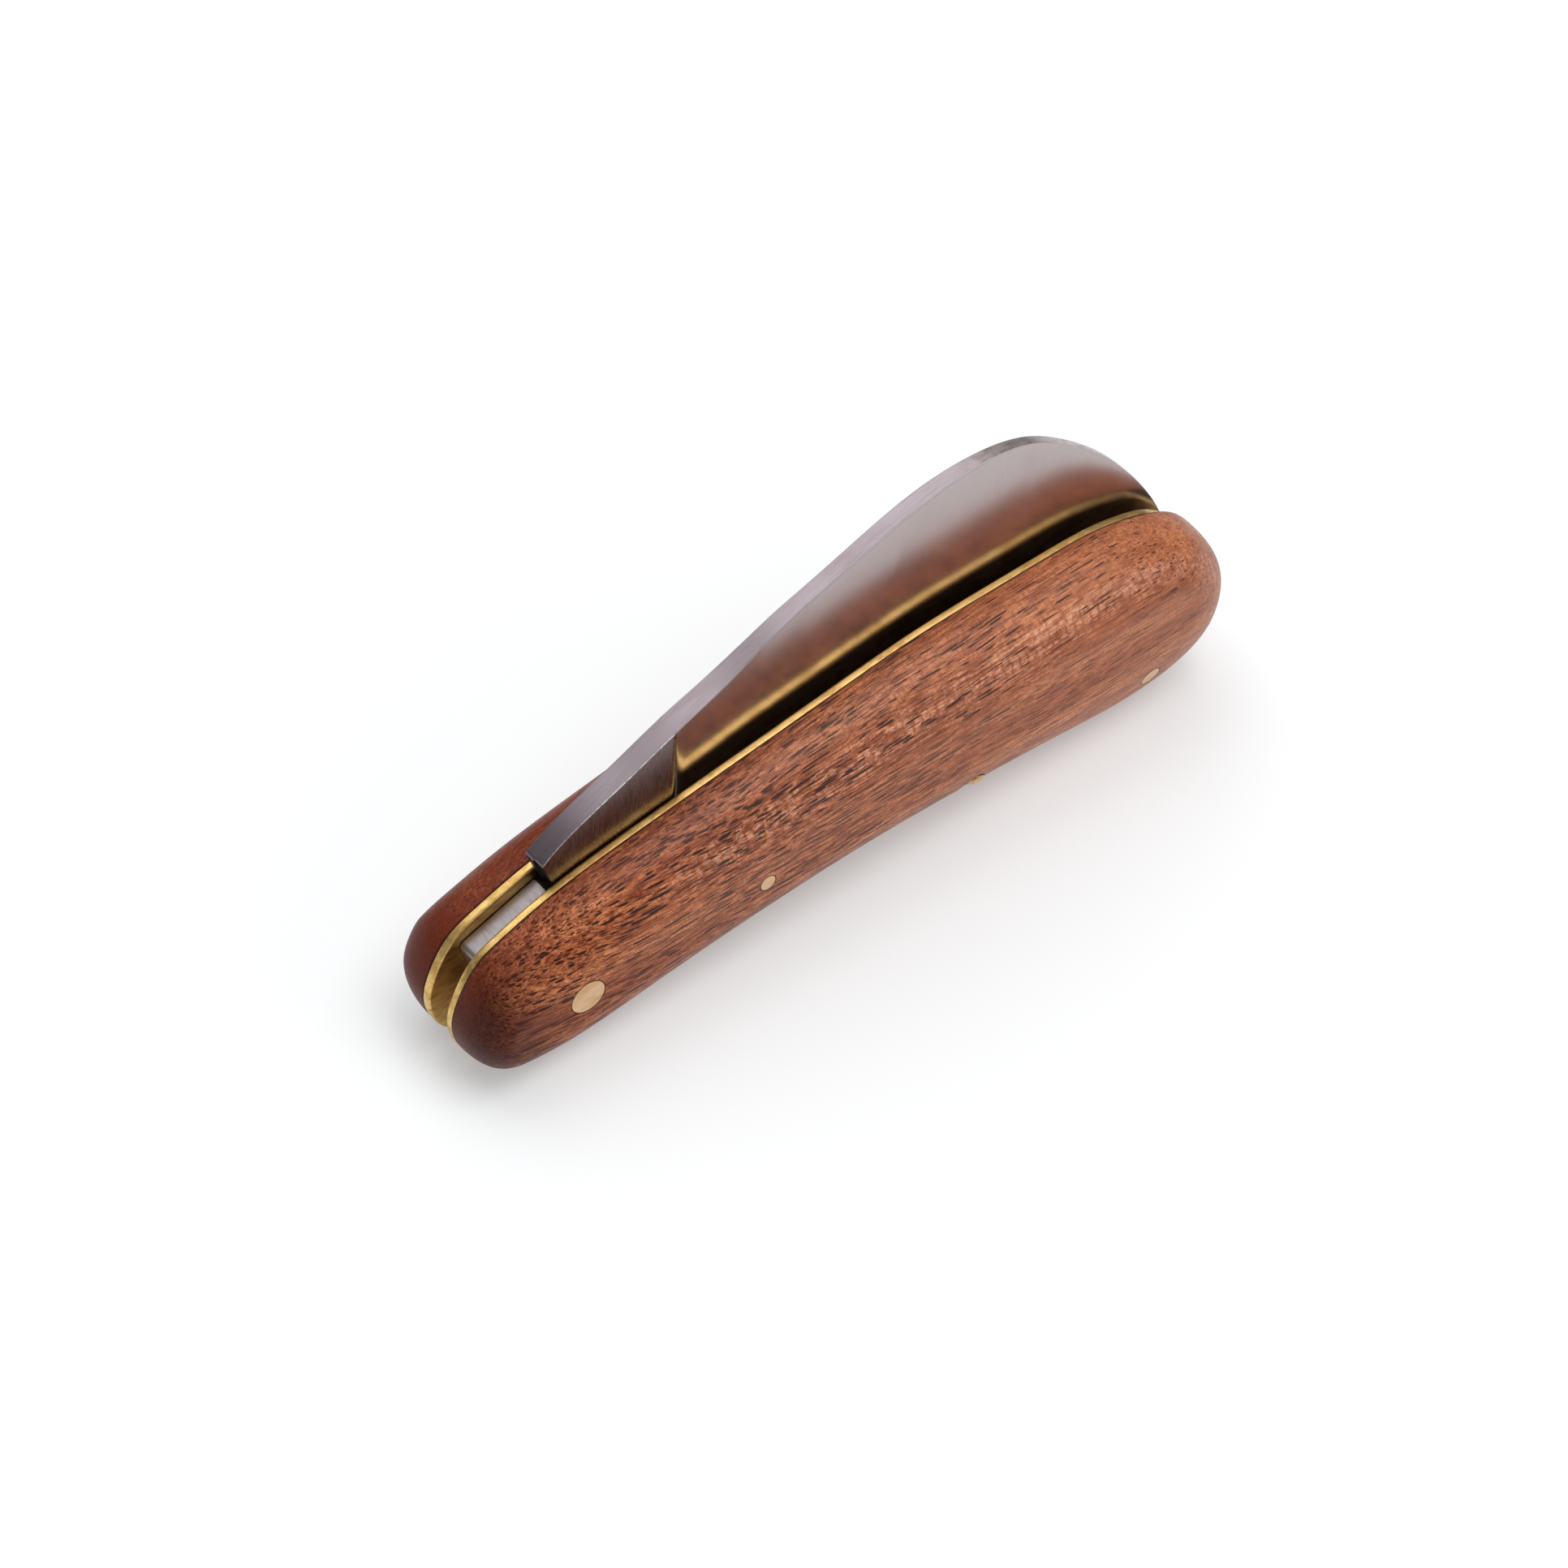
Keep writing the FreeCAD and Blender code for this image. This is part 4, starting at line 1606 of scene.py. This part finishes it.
@dataclass
class BackSpring:
    """Back spring between the liners: its back is the handle's, its inner side rises to the butt."""

    shape: HandleShape
    # The nose under the tang, the end at the butt, and the rise of the inner side above the back.
    nose_end: float = -46.2
    nose_top: float = 2.47
    flat_end: float = -34.7
    butt_end: float = 54.85
    depth: float = 7.2
    least_depth: float = 0.4
    arris: float = 0.06
    columns: int = 260
    back_share: float = 0.43
    shares: tuple = ((0.230, 0.40), (0.360, 0.47), (0.500, 0.60), (0.640, 1.00), (0.800, 1.42), (0.940, 1.72))

    def rings(self) -> np.ndarray:
        """Rings of the spring, each of its columns a line from its inner side down to the back.

        Returns:
            Rows of rings in millimetres.
        """
        fine = self.shape.curve().spaced(np.linspace(0, 1, OUTLINE_STEPS + 1))[:-1]
        back = fine[fine[:, 1] < self.shape.height * self.back_share]
        back = back[np.argsort(back[:, 0])]
        x = np.linspace(self.nose_end, self.butt_end, self.columns)
        low = np.interp(x, back[:, 0], back[:, 1])
        places, depths = np.array(self.shares).T
        places = (places - 0.5) * self.shape.length
        rise = np.interp(places, back[:, 0], back[:, 1]) + depths * self.depth
        knots = np.vstack([(self.flat_end, self.nose_top), np.stack([places, rise], axis=1)])
        inner = SmoothCurve(knots).spaced(np.linspace(0, 1, ROUGH_STEPS))
        top = np.where(x < self.flat_end, self.nose_top, np.interp(x, inner[:, 0], inner[:, 1]))
        top = np.maximum(top, low + self.least_depth)
        outline = np.vstack([np.stack([x, top], axis=1), np.stack([x, low], axis=1)[::-1]])
        half = np.full(len(outline), self.shape.slot_half - GAP)
        return Plate(outline, outline, half, half, np.full(len(outline), self.arris), 0 * half).rings()[0]

    def build(self, steel: bpy.types.Material) -> bpy.types.Object:
        """Make the spring and fit it."""
        return fit(make_piece("steel_back_spring", self.rings(), [steel]), "back_spring", "handle")


# ---------------------------------------------------------------------------------------------
# Studio
# ---------------------------------------------------------------------------------------------


@dataclass(frozen=True)
class Lamp:
    """Square area lamp that faces the object from a direction, in metres and watts."""

    name: str
    direction: tuple
    size: float
    watts: float
    distance: float = 1.3

    def build(self, target: Vector) -> None:
        """Hang the lamp, facing a target.

        Args:
            target: Place that it faces, in metres.
        """
        data = bpy.data.lights.new(self.name, "AREA")
        data.shape = "SQUARE"
        data.size = self.size
        data.energy = self.watts
        lamp = bpy.data.objects.new(self.name, data)
        away = Vector(self.direction).normalized()
        lamp.location = target + away * self.distance
        lamp.rotation_mode = "QUATERNION"
        lamp.rotation_quaternion = away.to_track_quat("Z", "Y")
        bpy.context.scene.collection.objects.link(lamp)


@dataclass(frozen=True)
class Studio:
    """Pale floor, soft lamps and the camera at the photograph's angle."""

    # Camera: its target, distance and lens in millimetres, its limits in metres, and its axes.
    target: tuple = (-6.106, 0.0, 12.014)
    distance: float = 525.31
    lens: float = 106.58
    clip: tuple = (0.01, 20.0)
    back: tuple = (-0.43297, -0.50171, 0.74889)
    right: tuple = (0.77238, -0.63481, 0.02127)
    # Floor: half its side in metres, its colour, and its glow to the camera and to mirrors.
    floor_half: float = 4.0
    paper: tuple = (0.945, 0.967, 0.976, 1.0)
    glow: tuple = (0.98, 0.98, 0.98, 1.0)
    glow_share: float = 0.3
    # Surroundings: their strength at the horizon and overhead, which is reached at a sine.
    horizon: float = 0.2
    overhead: float = 0.66
    overhead_from: float = 0.75
    lamps: tuple = (
        Lamp("back", (0.12, 0.5, 0.86), 1.15, 6.6),
        Lamp("top", (0.22, -0.3, 0.92), 0.8, 6.9),
        Lamp("front", (0.43, -0.74, 0.52), 0.5, 1.7),
    )

    def camera(self) -> None:
        """Place the camera by its own axes."""
        back = Vector(self.back).normalized()
        right = (Vector(self.right) - back * Vector(self.right).dot(back)).normalized()
        up = back.cross(right)
        data = bpy.data.cameras.new("camera")
        data.lens = self.lens
        data.clip_start, data.clip_end = self.clip
        camera = bpy.data.objects.new("camera", data)
        place = (Vector(self.target) + back * self.distance) * MM
        turn = Matrix((right, up, back)).transposed().to_4x4()
        camera.matrix_world = Matrix.Translation(place) @ turn
        bpy.context.scene.collection.objects.link(camera)
        bpy.context.scene.camera = camera

    def floor(self) -> None:
        """Wide plain floor that keeps the soft shadow and stays nearly white."""
        mesh = bpy.data.meshes.new("floor")
        corners = [(x * self.floor_half, y * self.floor_half, 0) for x, y in ((-1, -1), (1, -1), (1, 1), (-1, 1))]
        mesh.from_pydata(corners, [], [(0, 1, 2, 3)])
        floor = bpy.data.objects.new("floor", mesh)
        bpy.context.scene.collection.objects.link(floor)
        g = Graph("pale_floor")
        path = g.add("ShaderNodeLightPath").outputs
        paper = g.add("ShaderNodeBsdfDiffuse", {"Color": self.paper})
        glow = g.add("ShaderNodeEmission", {"Color": self.glow, "Strength": 1.0})
        seen = g.math("MAXIMUM", path["Is Camera Ray"], path["Is Glossy Ray"])
        seen = g.math("MAXIMUM", seen, path["Is Transmission Ray"])
        inputs = {0: g.times(seen, self.glow_share), 1: paper.outputs[0], 2: glow.outputs[0]}
        both = g.add("ShaderNodeMixShader", inputs)
        g.links.new(both.outputs[0], g.output.inputs["Surface"])
        mesh.materials.append(g.material)

    def world(self) -> None:
        """Pale surroundings that rise smoothly from a level at the horizon to a level overhead."""
        world = bpy.data.worlds.new("studio")
        bpy.context.scene.world = world
        world.use_nodes = True
        nodes, links = world.node_tree.nodes, world.node_tree.links
        nodes.clear()
        axes = nodes.new("ShaderNodeSeparateXYZ")
        links.new(nodes.new("ShaderNodeTexCoord").outputs["Generated"], axes.inputs[0])
        level = nodes.new("ShaderNodeMapRange")
        level.interpolation_type = "SMOOTHSTEP"
        level.inputs["From Max"].default_value = self.overhead_from
        level.inputs["To Min"].default_value = self.horizon
        level.inputs["To Max"].default_value = self.overhead
        links.new(axes.outputs[2], level.inputs["Value"])
        glow = nodes.new("ShaderNodeBackground")
        links.new(level.outputs["Result"], glow.inputs["Strength"])
        output = nodes.new("ShaderNodeOutputWorld")
        links.new(glow.outputs[0], output.inputs[0])

    def build(self) -> None:
        """Make the whole studio."""
        self.camera()
        self.floor()
        self.world()
        for lamp in self.lamps:
            lamp.build(Vector(self.target) * MM)
        bpy.context.scene.view_settings.view_transform = "Standard"


# ---------------------------------------------------------------------------------------------
# Whole knife
# ---------------------------------------------------------------------------------------------


@dataclass(frozen=True)
class Knife:
    """The whole knife: its shape, where its rivets stand and what its pieces are made of."""

    shape: HandleShape = HandleShape()
    rivets: tuple = (
        Rivet("pivot_pin", -41.6, 10.4, 4.4),
        Rivet("middle_pin", -16.8, 12.0, 2.0),
        Rivet("spring_pin", 14.95, 6.3, 2.0, proud=0.4, dome=3.0),
        Rivet("butt_pin", 40.8, 7.6, 2.6),
    )
    brass: BrassFinish = BrassFinish()
    head_brass: BrassFinish = BrassFinish("pale_brass", (222, 186, 146), (204, 162, 118), 0.12)
    spring_steel: SteelFinish = SteelFinish("spring_steel", (160, 152, 154))

    def wood(self) -> WoodFinish:
        """Wood with painted shade in the gap round each rivet."""
        return WoodFinish(tuple((rivet.x, rivet.z, rivet.diameter / 2) for rivet in self.rivets))

    @staticmethod
    def blade_finishes() -> dict:
        """Finish of each face of the blade, by its place in Dress.

        Returns:
            Each face's finish.
        """
        return {
            Dress.SPINE: SteelFinish(
                "drawn_spine", (147, 137, 142), 0.36, depth=0.006, extras=(HeelShade(), WornSpineGlint())
            ),
            Dress.TANG: SteelFinish(
                "cross_brushed", (148, 142, 144), 0.36, fine_marks(5.0, 0.6, 5.0), 0.002, marked=0.25,
                extras=(Pits(), HeelCornerDarkening()),
            ),
            # Heel's end face: oxidised steel, its dark colour partly painted shade of the shadow it lies in.
            Dress.HEEL: SteelFinish(
                "dark_heel", (48, 42, 42), 0.45, fine_marks(4.0, 4.0, 4.0), 0.01, (22, 18, 18), 0.8
            ),
            Dress.FLAT: SteelFinish("flat_side", (118, 106, 103), 0.27, fine_marks(6.0, 1.0, 0.4), 0.002),
            Dress.GROUND: SteelFinish(
                "ground_side", (180, 169, 169), 0.18, fine_marks(7.0, 1.0, 0.3), 0.0001,
                stained=0.1, marked=0.05, spread=0.015, extras=(SpineStrip(),),
            ),
        }

    def build(self) -> None:
        """Make every piece of the knife, from the scales inwards to the blade."""
        places = {rivet.node: (rivet.x, rivet.z) for rivet in self.rivets}
        notch = Notch.beside(*places["spring_pin"], self.shape)
        wood = self.wood().material()
        brass, head_brass = self.brass.material(), self.head_brass.material()
        for side in Side:
            WoodScale(self.shape, side, notch).build(wood)
            Liner(self.shape, side).build(brass)
        for rivet in self.rivets:
            rivet.build(self.shape, head_brass)
        finishes = self.blade_finishes()
        blade = BladeShape(self.shape, places["pivot_pin"])
        blade.build([finishes[dress].material() for dress in Dress])
        BackSpring(self.shape).build(self.spring_steel.material())


def main() -> None:
    """Build the knife piece by piece, then the studio."""
    logging.basicConfig(level=logging.INFO)
    Knife().build()
    Studio().build()


if __name__ == "__main__":
    main()
